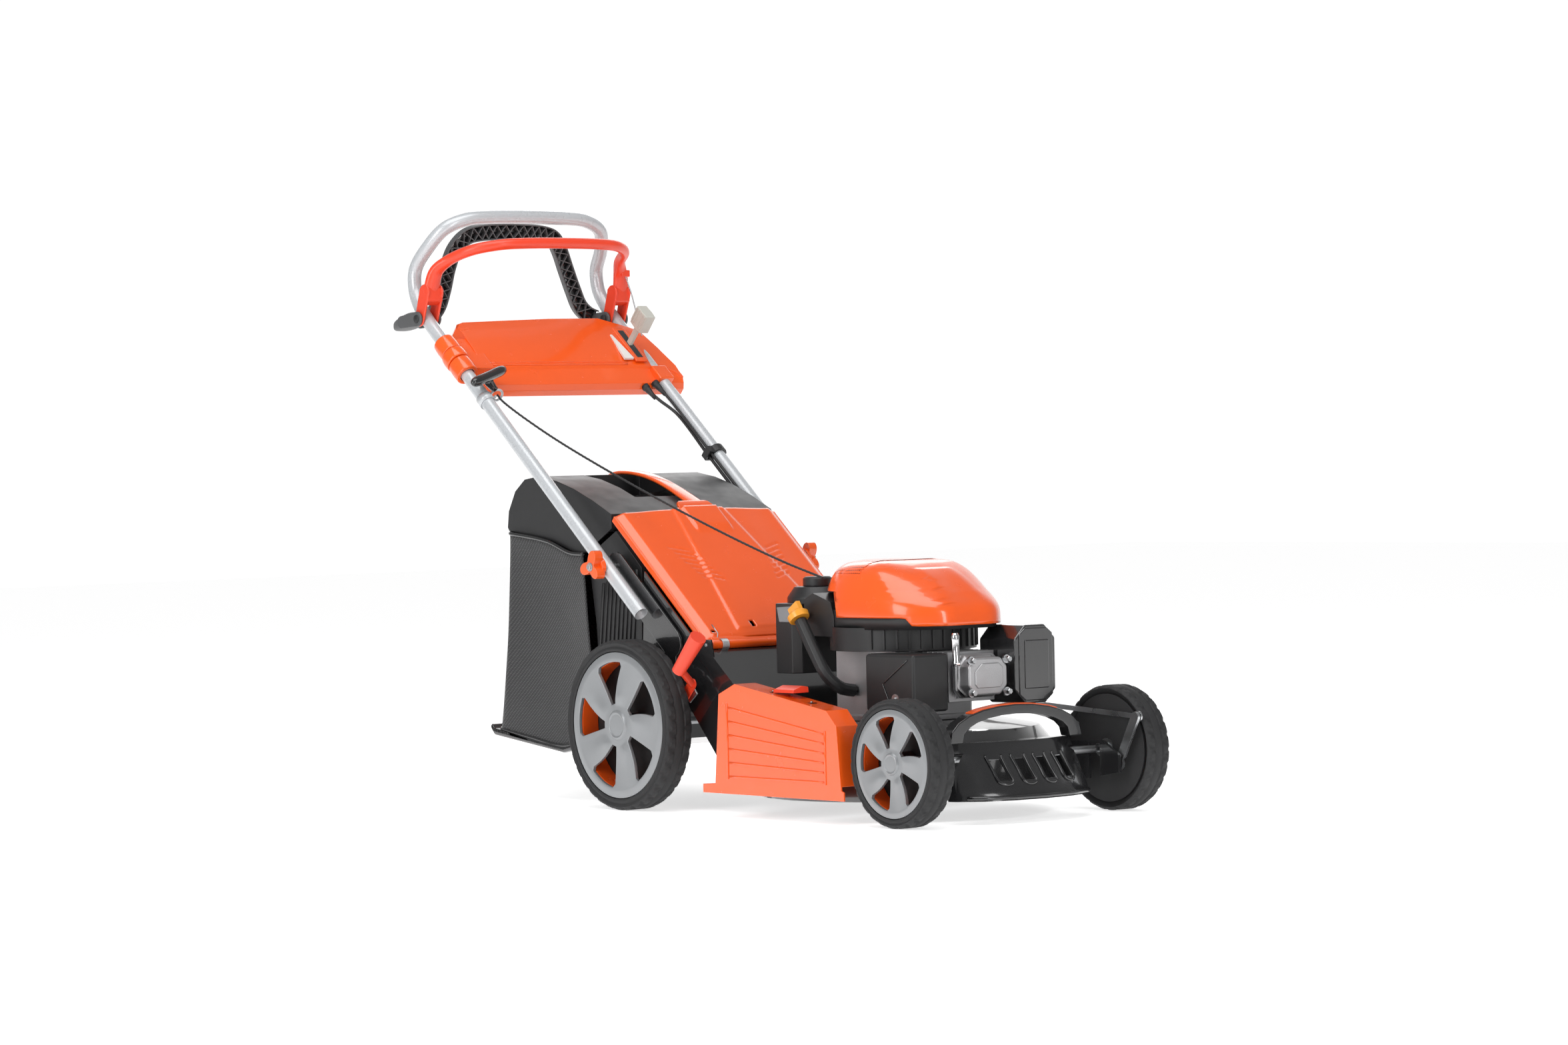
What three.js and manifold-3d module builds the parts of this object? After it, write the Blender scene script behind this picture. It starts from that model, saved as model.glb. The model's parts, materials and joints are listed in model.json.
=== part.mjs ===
// Self-propelled petrol lawn mower with grass catcher, as a scene graph of separate solids.
// Millimetres, +Z up, -Y is the front, -X is the operator's right-hand side seen from behind.
import * as THREE from 'three';
import { mergeVertices } from 'three/addons/utils/BufferGeometryUtils.js';
import Module from 'manifold-3d';

const wasm = await Module();
wasm.setup();

// ---------------------------------------------------------------- driving dimensions
const GAP = 0.3;                     // air left between pieces that touch
const WHEELBASE = 675;               // front axle line to rear axle line
const FRONT_WHEEL = { radius: 100, trimRadius: 84, inner: 201, width: 47, sides: 28 };
const REAR_WHEEL = { radius: 140, trimRadius: 120, inner: 212, width: 50, sides: 32 };
const AXLE_RADIUS = 6;
const HEIGHT_ARM = 48;               // crank length that carries each axle
const HEIGHT_ANGLE = 28;             // crank angle above level at the lowest cutting height
const CRANK_Y = 255;                 // crankshaft axis, behind the front axle
const DECK_RADIUS = 236;
const DECK_TOP = 150;
const DECK_RIM = 33;
const SHEET = 3;                     // deck and cover wall
const TUNNEL_HALF = 178;             // rear discharge tunnel, half width
const TUBE_RADIUS = 12;
const TUBE_X = 204;                  // handlebar tubes, half spacing
const FOLD = { y: 770, z: 398 };     // handle clamp bolt
const GRIP_PIVOT = { y: 1273, z: 826 }; // bail and drive lever pivot
const TUBE_END_DROP = 121;           // tube length below the clamp bolt
const FLAP_HINGE = { y: 540, z: 270 };
const FLAP_LENGTH = 326;
const COVER_HINGE = { x: -208, z: 160 }; // side discharge cover, axis along Y
const FRONT_Y = -FRONT_WHEEL.radius;
const REAR_Y = 1365;
const CENTRE_Y = (FRONT_Y + REAR_Y) / 2;

const SLOPE = Math.atan2(GRIP_PIVOT.z - FOLD.z, GRIP_PIVOT.y - FOLD.y);
const COS = Math.cos(SLOPE);
const SIN = Math.sin(SLOPE);

// ---------------------------------------------------------------- materials
const paint = (color, roughness, metalness) =>
  new THREE.MeshStandardMaterial({ color, roughness, metalness });
const LOOK = {
  orange: paint(0xf2581b, 0.25, 0),
  redOrange: paint(0xe6482c, 0.35, 0),
  silverPaint: paint(0xd3d5d8, 0.3, 0.3),
  blackPaint: paint(0x17181a, 0.2, 0.1),
  blackPlastic: paint(0x1c1d1f, 0.45, 0),
  greyPlastic: paint(0x5b5d60, 0.5, 0),
  paleGrey: paint(0xb9b9b4, 0.5, 0),
  wheelSilver: paint(0x8b8e92, 0.4, 0.4),
  rubber: paint(0x202124, 0.8, 0),
  aluminium: paint(0xa9aaab, 0.45, 0.9),
  steel: paint(0x9a9c9f, 0.35, 1),
  fabric: paint(0x2b2c2d, 0.95, 0),
  yellow: paint(0xf0a02a, 0.4, 0),
};

// ---------------------------------------------------------------- solids
function solid(geometry) {
  const bare = geometry.index ? geometry.toNonIndexed() : geometry.clone();
  bare.deleteAttribute('normal');
  bare.deleteAttribute('uv');
  const merged = mergeVertices(bare, 1e-4);
  const triVerts = new Uint32Array(merged.index.array);
  const made = () => new wasm.Manifold(new wasm.Mesh({
    numProp: 3,
    vertProperties: merged.attributes.position.array,
    triVerts,
  }));
  const first = made();
  if (first.volume() > 0) return first;
  triVerts.reverse();                // the outline ran the other way round
  return made();
}

function geometryOf(manifold) {
  const mesh = manifold.getMesh();
  const geometry = new THREE.BufferGeometry();
  geometry.setAttribute('position', new THREE.BufferAttribute(mesh.vertProperties, 3));
  geometry.setIndex(new THREE.BufferAttribute(mesh.triVerts, 1));
  const faceted = geometry.toNonIndexed();
  faceted.computeVertexNormals();
  return faceted;
}

const join = (...pieces) => pieces.reduce((a, b) => a.add(b));
const cut = (base, ...tools) => tools.reduce((a, b) => a.subtract(b), base);

function box(x0, x1, y0, y1, z0, z1) {
  const geometry = new THREE.BoxGeometry(x1 - x0, y1 - y0, z1 - z0);
  return solid(geometry.translate((x0 + x1) / 2, (y0 + y1) / 2, (z0 + z1) / 2));
}

function outline(points) {
  const shape = new THREE.Shape(points.map(([a, b]) => new THREE.Vector2(a, b)));
  return shape;
}

// A prism of an outline in (y, z), from x0 to x1.
function prismX(points, x0, x1) {
  const geometry = new THREE.ExtrudeGeometry(outline(points), { depth: x1 - x0, bevelEnabled: false });
  const turn = new THREE.Matrix4().makeBasis(
    new THREE.Vector3(0, 1, 0), new THREE.Vector3(0, 0, 1), new THREE.Vector3(1, 0, 0));
  return solid(geometry.applyMatrix4(turn).translate(x0, 0, 0));
}

// A prism of an outline in (x, z), from y0 to y1.
function prismY(points, y0, y1) {
  const geometry = new THREE.ExtrudeGeometry(outline(points), { depth: y1 - y0, bevelEnabled: false });
  const turn = new THREE.Matrix4().makeBasis(
    new THREE.Vector3(1, 0, 0), new THREE.Vector3(0, 0, 1), new THREE.Vector3(0, -1, 0));
  return solid(geometry.applyMatrix4(turn).translate(0, y1, 0));
}

// A prism of an outline in (x, y), from z0 to z1.
function prismZ(points, z0, z1) {
  const geometry = new THREE.ExtrudeGeometry(outline(points), { depth: z1 - z0, bevelEnabled: false });
  return solid(geometry.translate(0, 0, z0));
}

const V = (x, y, z) => new THREE.Vector3(x, y, z);

// A round bar between two points.
function bar(from, to, radius, sides = 12, radiusTo = radius) {
  const along = to.clone().sub(from);
  const geometry = new THREE.CylinderGeometry(radiusTo, radius, along.length(), sides);
  geometry.applyQuaternion(new THREE.Quaternion().setFromUnitVectors(V(0, 1, 0), along.normalize()));
  const middle = from.clone().add(to).multiplyScalar(0.5);
  return solid(geometry.translate(middle.x, middle.y, middle.z));
}

// A lathe turned round an axis through a point; the profile is [radius, distance along the axis].
function turned(profile, sides, at, axis, startAngle = 0) {
  const points = profile.map(([r, a]) => new THREE.Vector2(r, a));
  const geometry = new THREE.LatheGeometry(points, sides, startAngle);
  geometry.applyQuaternion(new THREE.Quaternion().setFromUnitVectors(V(0, 1, 0), axis));
  return solid(geometry.translate(at.x, at.y, at.z));
}

function circlePoints(radius, sides) {
  const points = [];
  for (let i = 0; i < sides; i++) {
    const a = (2 * Math.PI * i) / sides;
    points.push([radius * Math.cos(a), radius * Math.sin(a)]);
  }
  return points;
}

// A rod of constant section swept along a smooth curve through the points.
function swept(points, section, steps) {
  const path = new THREE.CatmullRomCurve3(points, false, 'centripetal');
  const geometry = new THREE.ExtrudeGeometry(outline(section), {
    steps, extrudePath: path, bevelEnabled: false,
  });
  return solid(geometry);
}

// A closed body through rings of equal point counts, each ring star-shaped about its middle.
function loft(rings) {
  const count = rings[0].length;
  const positions = [];
  const push = (...corners) => corners.forEach((p) => positions.push(p.x, p.y, p.z));
  for (let r = 0; r + 1 < rings.length; r++) {
    for (let i = 0; i < count; i++) {
      const j = (i + 1) % count;
      push(rings[r][i], rings[r][j], rings[r + 1][j]);
      push(rings[r][i], rings[r + 1][j], rings[r + 1][i]);
    }
  }
  const middle = (ring) => ring.reduce((a, p) => a.add(p), V(0, 0, 0)).divideScalar(count);
  const first = rings[0];
  const last = rings[rings.length - 1];
  for (let i = 0; i < count; i++) {
    const j = (i + 1) % count;
    push(middle(first), first[j], first[i]);
    push(middle(last), last[i], last[j]);
  }
  const geometry = new THREE.BufferGeometry();
  geometry.setAttribute('position', new THREE.Float32BufferAttribute(positions, 3));
  return solid(geometry);
}

// A capsule outline round two points, as used by links and straps.
function strap([ay, az], [by, bz], radius, sides = 12) {
  const angle = Math.atan2(bz - az, by - ay);
  const points = [];
  for (let i = 0; i <= sides / 2; i++) {
    const a = angle + Math.PI / 2 + (2 * Math.PI * i) / sides;
    points.push([ay + radius * Math.cos(a), az + radius * Math.sin(a)]);
  }
  for (let i = 0; i <= sides / 2; i++) {
    const a = angle - Math.PI / 2 + (2 * Math.PI * i) / sides;
    points.push([by + radius * Math.cos(a), bz + radius * Math.sin(a)]);
  }
  return points;
}

const mirrorX = (points) => points.map((p) => V(-p.x, p.y, p.z));
const bothSides = (half) => [...mirrorX(half), ...half.slice().reverse()];

// The plane of the handlebar tubes: s runs up the tubes from the grip pivot, n stands out of the plane.
const onTube = (x, s, n) =>
  V(x, GRIP_PIVOT.y + s * COS - n * SIN, GRIP_PIVOT.z + s * SIN + n * COS);
const TUBE_MATRIX = new THREE.Matrix4().makeBasis(
  V(1, 0, 0), V(0, COS, SIN), V(0, -SIN, COS)).setPosition(0, GRIP_PIVOT.y, GRIP_PIVOT.z);
const placeOnTube = (manifold) => {
  const geometry = geometryOf(manifold);
  return solid(geometry.applyMatrix4(TUBE_MATRIX));
};

// ---------------------------------------------------------------- the group
const mower = new THREE.Group();
mower.name = 'lawn_mower';
mower.position.set(0, -CENTRE_Y, 0);

function add(name, manifold, material) {
  const mesh = new THREE.Mesh(geometryOf(manifold), material);
  mesh.name = name;
  mower.add(mesh);
}

// ---------------------------------------------------------------- wheels
// Each tyre stands on a flat facet: its radius is measured to the middle of the facets.
function tyreProfile(spec) {
  const toCorner = 1 / Math.cos(Math.PI / spec.sides);
  const tread = spec.radius * toCorner;
  const barrel = (spec.trimRadius + GAP) * toCorner;
  const bore = AXLE_RADIUS + 0.6;
  const hub = 16;
  const web = 6;
  const shoulder = 6;
  return [
    [bore, 0], [tread - shoulder, 0], [tread, shoulder],
    [tread, spec.width - shoulder], [tread - shoulder, spec.width],
    [barrel, spec.width], [barrel, web], [hub, web],
    [hub, spec.width - 14], [bore, spec.width - 14], [bore, 0],
  ];
}

function ringProfile(spec) {
  const outer = spec.trimRadius;
  const inner = outer - 9;
  const back = 6 + GAP;
  const front = spec.width - 6;
  return [[inner, back], [outer, back], [outer, front], [inner, front], [inner, back]];
}

// Silver wheel trim: a disc with five twisted windows and a hub cap.
function trimSolid(spec) {
  const outer = spec.trimRadius;
  const disc = outline(circlePoints(outer, spec.sides));
  const windows = 5;
  const near = outer * 0.36;
  const far = outer * 0.87;
  const twist = 0.2;
  for (let w = 0; w < windows; w++) {
    const start = (2 * Math.PI * w) / windows;
    const at = (r, a) => new THREE.Vector2(r * Math.cos(start + a), r * Math.sin(start + a));
    const corners = [at(near, 0.3), at(near, 0.62)];
    for (let i = 0; i <= 4; i++) {
      corners.push(at(far, 0.95 - i * 0.19 + twist * 0.5));
    }
    disc.holes.push(new THREE.Path(corners));
  }
  const geometry = new THREE.ExtrudeGeometry(disc, { depth: 6, bevelEnabled: false });
  const cap = new THREE.CylinderGeometry(outer * 0.19, outer * 0.22, 5, 16);
  cap.rotateX(Math.PI / 2).translate(0, 0, 7.5);
  return geometryOf(join(solid(geometry), solid(cap)));
}

function addWheel(place, side, spec, y) {
  const axis = V(side, 0, 0);
  const inner = V(side * spec.inner, y, spec.radius);
  add(`tyre_${place}`, turned(tyreProfile(spec), spec.sides, inner, axis, Math.PI / spec.sides), LOOK.rubber);
  add(`accent_ring_${place}`, turned(ringProfile(spec), spec.sides, inner, axis), LOOK.orange);
  const trim = trimSolid(spec);
  trim.rotateY((side * Math.PI) / 2);
  trim.translate(side * (spec.inner + spec.width - 5), y, spec.radius);
  add(`wheel_trim_${place}`, solid(trim), LOOK.wheelSilver);
}

addWheel('front_left', 1, FRONT_WHEEL, 0);
addWheel('front_right', -1, FRONT_WHEEL, 0);
addWheel('rear_left', 1, REAR_WHEEL, WHEELBASE);
addWheel('rear_right', -1, REAR_WHEEL, WHEELBASE);

// ---------------------------------------------------------------- cranked axles
const ARM_Y = HEIGHT_ARM * Math.cos(THREE.MathUtils.degToRad(HEIGHT_ANGLE));
const ARM_Z = HEIGHT_ARM * Math.sin(THREE.MathUtils.degToRad(HEIGHT_ANGLE));
const FRONT_CRANK = { y: -ARM_Y, z: FRONT_WHEEL.radius - ARM_Z };
const REAR_CRANK = { y: WHEELBASE - ARM_Y, z: REAR_WHEEL.radius - ARM_Z };
const PIN_RADIUS = 4;
const FRONT_ARM_X = 187;
const REAR_ARM_X = 197;
const ARM_THICK = 5;

function axle(y, spec, crank, armX) {
  const tip = spec.inner + spec.width - 7;
  const parts = [bar(V(-tip, y, spec.radius), V(tip, y, spec.radius), AXLE_RADIUS)];
  for (const side of [-1, 1]) {
    const x0 = side > 0 ? armX : -armX - ARM_THICK;
    const arm = prismX(strap([crank.y, crank.z], [y, spec.radius], 11), x0, x0 + ARM_THICK);
    const eye = bar(V(x0 - 1, crank.y, crank.z), V(x0 + ARM_THICK + 1, crank.y, crank.z), PIN_RADIUS + 0.5);
    parts.push(cut(arm, eye));
  }
  return join(...parts);
}

// The link rod joins the two cranks over the deck, so that all four wheels move together.
const LINK_EYE = { y: -40, z: 75 };  // from each crank pivot
const LINK_INNER = 193;
const LINK_OUTER = 196.4;
const LINK_PIN = 3;
const linkEye = (crank) => [crank.y + LINK_EYE.y, crank.z + LINK_EYE.z];

function linkArm(crank, armX, pinFrom, pinTo) {
  const [y, z] = linkEye(crank);
  const arm = prismX(strap([crank.y - 8, crank.z + 15], [y, z], 8), armX, armX + ARM_THICK);
  return join(arm, bar(V(pinFrom, y, z), V(pinTo, y, z), LINK_PIN, 8));
}

add('front_axle', join(
  axle(0, FRONT_WHEEL, FRONT_CRANK, FRONT_ARM_X),
  linkArm(FRONT_CRANK, FRONT_ARM_X, FRONT_ARM_X + 1, LINK_OUTER + 2),
), LOOK.steel);
add('rear_axle', join(
  axle(WHEELBASE, REAR_WHEEL, REAR_CRANK, REAR_ARM_X),
  linkArm(REAR_CRANK, REAR_ARM_X, LINK_INNER - 2, REAR_ARM_X + 1),
), LOOK.steel);

function linkRod() {
  const [fy, fz] = linkEye(FRONT_CRANK);
  const [ry, rz] = linkEye(REAR_CRANK);
  const eye = (y, z) => bar(V(LINK_INNER, y, z), V(LINK_OUTER, y, z), 9);
  const hole = (y, z) => bar(V(LINK_INNER - 1, y, z), V(LINK_OUTER + 1, y, z), LINK_PIN + 0.6, 8);
  const rod = prismX(strap([fy, fz], [ry, rz], 4, 8), LINK_INNER + 0.5, LINK_OUTER - 0.5);
  return cut(join(rod, eye(fy, fz), eye(ry, rz)), hole(fy, fz), hole(ry, rz));
}
add('height_link_rod', linkRod(), LOOK.steel);

// ---------------------------------------------------------------- height lever and its quadrant
const aroundRear = (radius, degrees) => {
  const a = THREE.MathUtils.degToRad(degrees);
  return [REAR_CRANK.y + radius * Math.cos(a), REAR_CRANK.z + radius * Math.sin(a)];
};
const LEVER_ANGLE = 134;
const LEVER_X = { inner: -203, outer: -206 };
const LEVER_GRIP_X = -250;

function heightLever() {
  const strapEnd = aroundRear(126, LEVER_ANGLE);
  const plate = prismX(strap([REAR_CRANK.y, REAR_CRANK.z], strapEnd, 9), LEVER_X.outer, LEVER_X.inner);
  const pinHole = bar(V(-210, REAR_CRANK.y, REAR_CRANK.z), V(-200, REAR_CRANK.y, REAR_CRANK.z),
    PIN_RADIUS + 0.6);
  const bendStart = V(-204.5, ...aroundRear(126, LEVER_ANGLE));
  const bendEnd = V(LEVER_GRIP_X, ...aroundRear(164, LEVER_ANGLE));
  const bend = bar(bendStart, bendEnd, 6);
  const grip = bar(V(LEVER_GRIP_X, ...aroundRear(158, LEVER_ANGLE)),
    V(LEVER_GRIP_X, ...aroundRear(236, LEVER_ANGLE)), 11, 12, 14);
  return join(cut(plate, pinHole), bend, grip);
}
add('height_lever', heightLever(), LOOK.redOrange);

function quadrant() {
  const inner = 96;
  const outer = 121;
  const points = [];
  for (let i = 0; i <= 8; i++) points.push(aroundRear(outer, 68 + i * 9.25));
  for (let i = 8; i >= 0; i--) points.push(aroundRear(inner, 68 + i * 9.25));
  let plate = prismX(points, -201.5, -198.5);
  for (let notch = 0; notch < 5; notch++) {
    const [y, z] = aroundRear(outer, 78 + notch * 14);
    plate = cut(plate, box(-203, -197, y - 4, y + 4, z - 4, z + 4));
  }
  const [footY, footZ] = aroundRear(102, 90);
  return join(plate, box(-199, -186.3, footY - 9, footY + 9, footZ - 6, footZ + 6));
}
add('height_quadrant', quadrant(), LOOK.steel);

// ---------------------------------------------------------------- deck
const flapPoint = (s, n) => [
  FLAP_HINGE.y + s * COS - n * SIN,
  FLAP_HINGE.z + s * SIN + n * COS,
];
const BELT = { low: 113, high: 121, engine: 30, drive: 28, y: 632 };

function deckShell() {
  const dome = turned([
    [0, DECK_TOP], [150, DECK_TOP], [215, 138], [DECK_RADIUS, 112], [DECK_RADIUS, DECK_RIM],
    [DECK_RADIUS - SHEET, DECK_RIM], [DECK_RADIUS - SHEET, 111], [213.5, 135.5],
    [149.5, DECK_TOP - SHEET], [0, DECK_TOP - SHEET],
  ], 36, V(0, CRANK_Y, 0), V(0, 0, 1));
  const wallTop = 14;
  const outer = [
    [400, 140], [400, DECK_TOP], [536, 262], flapPoint(0, -wallTop), flapPoint(200, -wallTop),
    [714, 190], [714, 182], [600, 182], [497, 66], [470, 66], [440, 100],
  ];
  const inner = [
    [404, 66], [404, 145], [535, 256], [542, 262], [560, 300], [760, 470], [760, 185],
    [598.6, 185], [493, 66],
  ];
  let deck = join(dome, prismX(outer, -TUNNEL_HALF, TUNNEL_HALF));
  deck = cut(deck, prismX(inner, -TUNNEL_HALF + SHEET, TUNNEL_HALF - SHEET));
  const chamber = turned([
    [0, 40], [DECK_RADIUS - SHEET, 40], [DECK_RADIUS - SHEET, 111], [213.5, 135.5],
    [149.5, DECK_TOP - SHEET], [0, DECK_TOP - SHEET],
  ], 36, V(0, CRANK_Y, 0), V(0, 0, 1));
  deck = cut(deck, chamber);
  // Discharge window on the right-hand side, belt slot, and hole for the crankshaft.
  deck = cut(deck,
    box(-245, -190, 165, 425, 56, 106),
    box(-50, 50, 505, 590, BELT.low - 6, BELT.high + 8),
    bar(V(0, CRANK_Y, 140), V(0, CRANK_Y, 155), 20));
  for (const side of [-1, 1]) {
    const from = side > 0 ? 178 : -184;
    const ear = prismX([[-53, 64], [-53, 92], [-14, 114], [112, 109], [112, 50], [30, 50]], from, from + 6);
    const slot = box(from - 1, from + 7, -10, 17, 40, 108);
    const pin = bar(V(side * 180, FRONT_CRANK.y, FRONT_CRANK.z),
      V(side * (FRONT_ARM_X + ARM_THICK + 0.6), FRONT_CRANK.y, FRONT_CRANK.z), PIN_RADIUS);
    const hingeFrom = side > 0 ? TUNNEL_HALF - SHEET : -TUNNEL_HALF;
    const hingeEar = cut(
      prismX([[522, 250], [528, 279], [551, 279], [560, 262]], hingeFrom, hingeFrom + SHEET),
      bar(V(side * 170, FLAP_HINGE.y, FLAP_HINGE.z), V(side * 190, FLAP_HINGE.y, FLAP_HINGE.z), 3.4));
    deck = join(deck, cut(ear, slot), pin, hingeEar);
  }
  // Ears for the side cover's hinge rod.
  for (const y of [172, 334]) {
    const ear = prismY([[-219, 128], [-216, 168], [-200, 168], [-192, 136]], y, y + 5);
    const hole = bar(V(COVER_HINGE.x, y - 1, COVER_HINGE.z), V(COVER_HINGE.x, y + 6, COVER_HINGE.z), 3.4);
    deck = join(deck, cut(ear, hole));
  }
  return deck;
}
add('deck_shell', deckShell(), LOOK.blackPaint);

// Front bumper: a hollow plate that leans back, with four louvres.
function noseBumper() {
  const low = [[0, -82], [60, -76], [107, -57], [138, -25], [150, 10]];
  const high = [[0, -24], [60, -18], [112, 0], [126, 5], [132, 10]];
  const ring = (z, share, inset) => {
    const half = low.map(([x, y], i) => {
      const hx = x + (high[i][0] - x) * share;
      const hy = y + (high[i][1] - y) * share;
      return V(hx - inset * (x / 150), hy + inset, z);
    });
    return [...mirrorX(half.slice(1)).reverse(), ...half];
  };
  const outer = loft([ring(36, 0, 0), ring(50, 0.03, 0), ring(118, 0.95, 0), ring(124, 1, 0)]);
  const inner = loft([ring(30, 0, 3.4), ring(50, 0.03, 3.4), ring(117, 0.93, 3.4), ring(121, 0.96, 3.4)]);
  let nose = cut(outer, inner);
  for (const x of [-66, -22, 22, 66]) nose = cut(nose, box(x - 9, x + 9, -100, 0, 66, 98));
  for (const side of [-1, 1]) {
    nose = cut(nose, box(side > 0 ? 108 : -160, side > 0 ? 160 : -108, -11, 20, 30, 109));
  }
  return nose;
}
add('nose_bumper', noseBumper(), LOOK.blackPlastic);

// Carrying arch over the front edge of the deck.
function carryArch() {
  const base = 124 + GAP;
  const points = [];
  for (let i = 0; i <= 12; i++) {
    const a = (Math.PI * i) / 12;
    points.push([138 * Math.cos(a), base + 56 * Math.sin(a) ** 0.8]);
  }
  for (let i = 12; i >= 0; i--) {
    const a = (Math.PI * i) / 12;
    points.push([112 * Math.cos(a), base + 41 * Math.sin(a) ** 0.8]);
  }
  return prismY(points, -14, 9);
}
add('carry_arch', carryArch(), LOOK.blackPlastic);

// ---------------------------------------------------------------- handle brackets
const BRACKET_X = 181;
function bracket(side) {
  const from = side > 0 ? BRACKET_X : -BRACKET_X - 5;
  const upper = prismX(strap([FOLD.y, FOLD.z], [622, 272], 24), from, from + 5);
  const lower = prismX(strap([626, 272], [REAR_CRANK.y, REAR_CRANK.z], 15), from, from + 5);
  const boltHole = bar(V(side * 175, FOLD.y, FOLD.z), V(side * 195, FOLD.y, FOLD.z), 4.6);
  const reach = side > 0 ? REAR_ARM_X + ARM_THICK + 0.6 : -LEVER_X.outer + 0.6;
  const pin = bar(V(side * 183, REAR_CRANK.y, REAR_CRANK.z), V(side * reach, REAR_CRANK.y, REAR_CRANK.z),
    PIN_RADIUS);
  return join(cut(join(upper, lower), boltHole), pin);
}
add('handle_bracket_left', bracket(1), LOOK.blackPaint);
add('handle_bracket_right', bracket(-1), LOOK.blackPaint);

// ---------------------------------------------------------------- rear flap
const FLAP_MATRIX = new THREE.Matrix4().makeBasis(
  V(1, 0, 0), V(0, COS, SIN), V(0, -SIN, COS)).setPosition(0, FLAP_HINGE.y, FLAP_HINGE.z);

function rearFlap() {
  const top = [[-172, -2], [-152, 6], [-60, 10], [60, 10], [152, 6], [172, -2]];
  const section = [
    [-172, -12], ...top, [172, -12], [169, -12],
    ...top.slice().reverse().map(([x, n]) => [x * 0.983, n - 3.2]), [-169, -12],
  ];
  const skin = prismY(section, 9, FLAP_LENGTH);
  const tab = box(-38, 38, FLAP_LENGTH - 4, FLAP_LENGTH + 22, 4, 12);
  const barrel = bar(V(-168, 0, 0), V(168, 0, 0), 7);
  const web = box(-165, 165, 2, 14, 2, 7);
  const rodHole = bar(V(-175, 0, 0), V(175, 0, 0), 3.5);
  const flap = cut(join(skin, tab, barrel, web), rodHole);
  return solid(geometryOf(flap).applyMatrix4(FLAP_MATRIX));
}
add('rear_flap', rearFlap(), LOOK.orange);
add('flap_hinge_rod', bar(V(-180, FLAP_HINGE.y, FLAP_HINGE.z), V(180, FLAP_HINGE.y, FLAP_HINGE.z), 3),
  LOOK.steel);

// ---------------------------------------------------------------- side discharge cover
function sideCover() {
  const edge = [
    [113, 38], [113, 52], [119, 54], [128, 154], [152, 178], [380, 214], [421, 197],
    [434, 54], [466, 52], [466, 38],
  ];
  const hollow = [
    [122, 20], [122, 54], [131, 152], [154, 175], [379, 211], [418, 195], [431, 54], [431, 20],
  ];
  const outer = prismX(edge, -249, -205);
  let cover = cut(outer, prismX(hollow, -246, -200), box(-246, -200, 100, 500, 20, 60));
  for (const y of [205, 300]) {
    const lugOutline = [[-247, 150], [-247, 172], [-213, 169], [-203, 169], [-201, 160], [-204, 153]];
    const lug = prismY(lugOutline, y, y + 14);
    const hole = bar(V(COVER_HINGE.x, y - 1, COVER_HINGE.z), V(COVER_HINGE.x, y + 15, COVER_HINGE.z), 3.5);
    cover = join(cover, cut(lug, hole));
  }
  return cover;
}
add('side_cover', sideCover(), LOOK.orange);
add('side_cover_rod', bar(V(COVER_HINGE.x, 166, COVER_HINGE.z), V(COVER_HINGE.x, 345, COVER_HINGE.z), 3),
  LOOK.steel);
add('side_cover_latch', prismY([[-238, 202], [-236, 207], [-218, 213], [-206, 211], [-205, 202]], 246, 296),
  LOOK.redOrange);

// ---------------------------------------------------------------- cutting blade and crankshaft
function blade() {
  const reach = 225;
  const plan = [
    [-reach, CRANK_Y - 22], [-60, CRANK_Y - 26], [60, CRANK_Y - 26], [reach, CRANK_Y - 26],
    [reach, CRANK_Y + 22], [60, CRANK_Y + 26], [-60, CRANK_Y + 26], [-reach, CRANK_Y + 26],
  ];
  const lift = (side) => {
    const y0 = side > 0 ? CRANK_Y + 17 : CRANK_Y - 26;
    return box(side > 0 ? 150 : -218, side > 0 ? 218 : -150, y0, y0 + 9, 44, 60);
  };
  return cut(join(prismZ(plan, 44, 48), lift(1), lift(-1)), bar(V(0, CRANK_Y, 40), V(0, CRANK_Y, 52), 6));
}
add('blade', blade(), LOOK.steel);

add('crankshaft', join(
  bar(V(0, CRANK_Y, 48 + GAP), V(0, CRANK_Y, 196), 12.5),
  bar(V(0, CRANK_Y, BELT.low - 3), V(0, CRANK_Y, BELT.high + 3), BELT.engine, 20),
  bar(V(0, CRANK_Y, 40), V(0, CRANK_Y, 50), 5.6),
  bar(V(0, CRANK_Y, 36), V(0, CRANK_Y, 44 - GAP), 14, 6),
), LOOK.steel);

function beltLoop() {
  const hull = (grow) => {
    const points = [];
    for (let i = 0; i <= 10; i++) {
      const a = Math.PI + (Math.PI * i) / 10;
      points.push([(BELT.engine + grow) * Math.cos(a), CRANK_Y + (BELT.engine + grow) * Math.sin(a)]);
    }
    for (let i = 0; i <= 10; i++) {
      const a = (Math.PI * i) / 10;
      points.push([(BELT.drive + grow) * Math.cos(a), BELT.y + (BELT.drive + grow) * Math.sin(a)]);
    }
    return points;
  };
  return cut(prismZ(hull(4.5), BELT.low, BELT.high), prismZ(hull(0.8), BELT.low - 1, BELT.high + 1));
}
add('drive_belt', beltLoop(), LOOK.rubber);

add('drive_gearbox', cut(join(
  box(-34, 34, 650, 700, BELT.high + 4, 168),
  box(-20, 20, 618, 652, BELT.high + 4, 150),
  bar(V(0, BELT.y, BELT.low - 3), V(0, BELT.y, BELT.high + 8), BELT.drive, 20),
), bar(V(-40, WHEELBASE, REAR_WHEEL.radius), V(40, WHEELBASE, REAR_WHEEL.radius), AXLE_RADIUS + 0.4)),
LOOK.aluminium);

// ---------------------------------------------------------------- engine
const ENGINE_BASE = DECK_TOP + GAP;
const BLOWER_RADIUS = 118;

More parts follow.
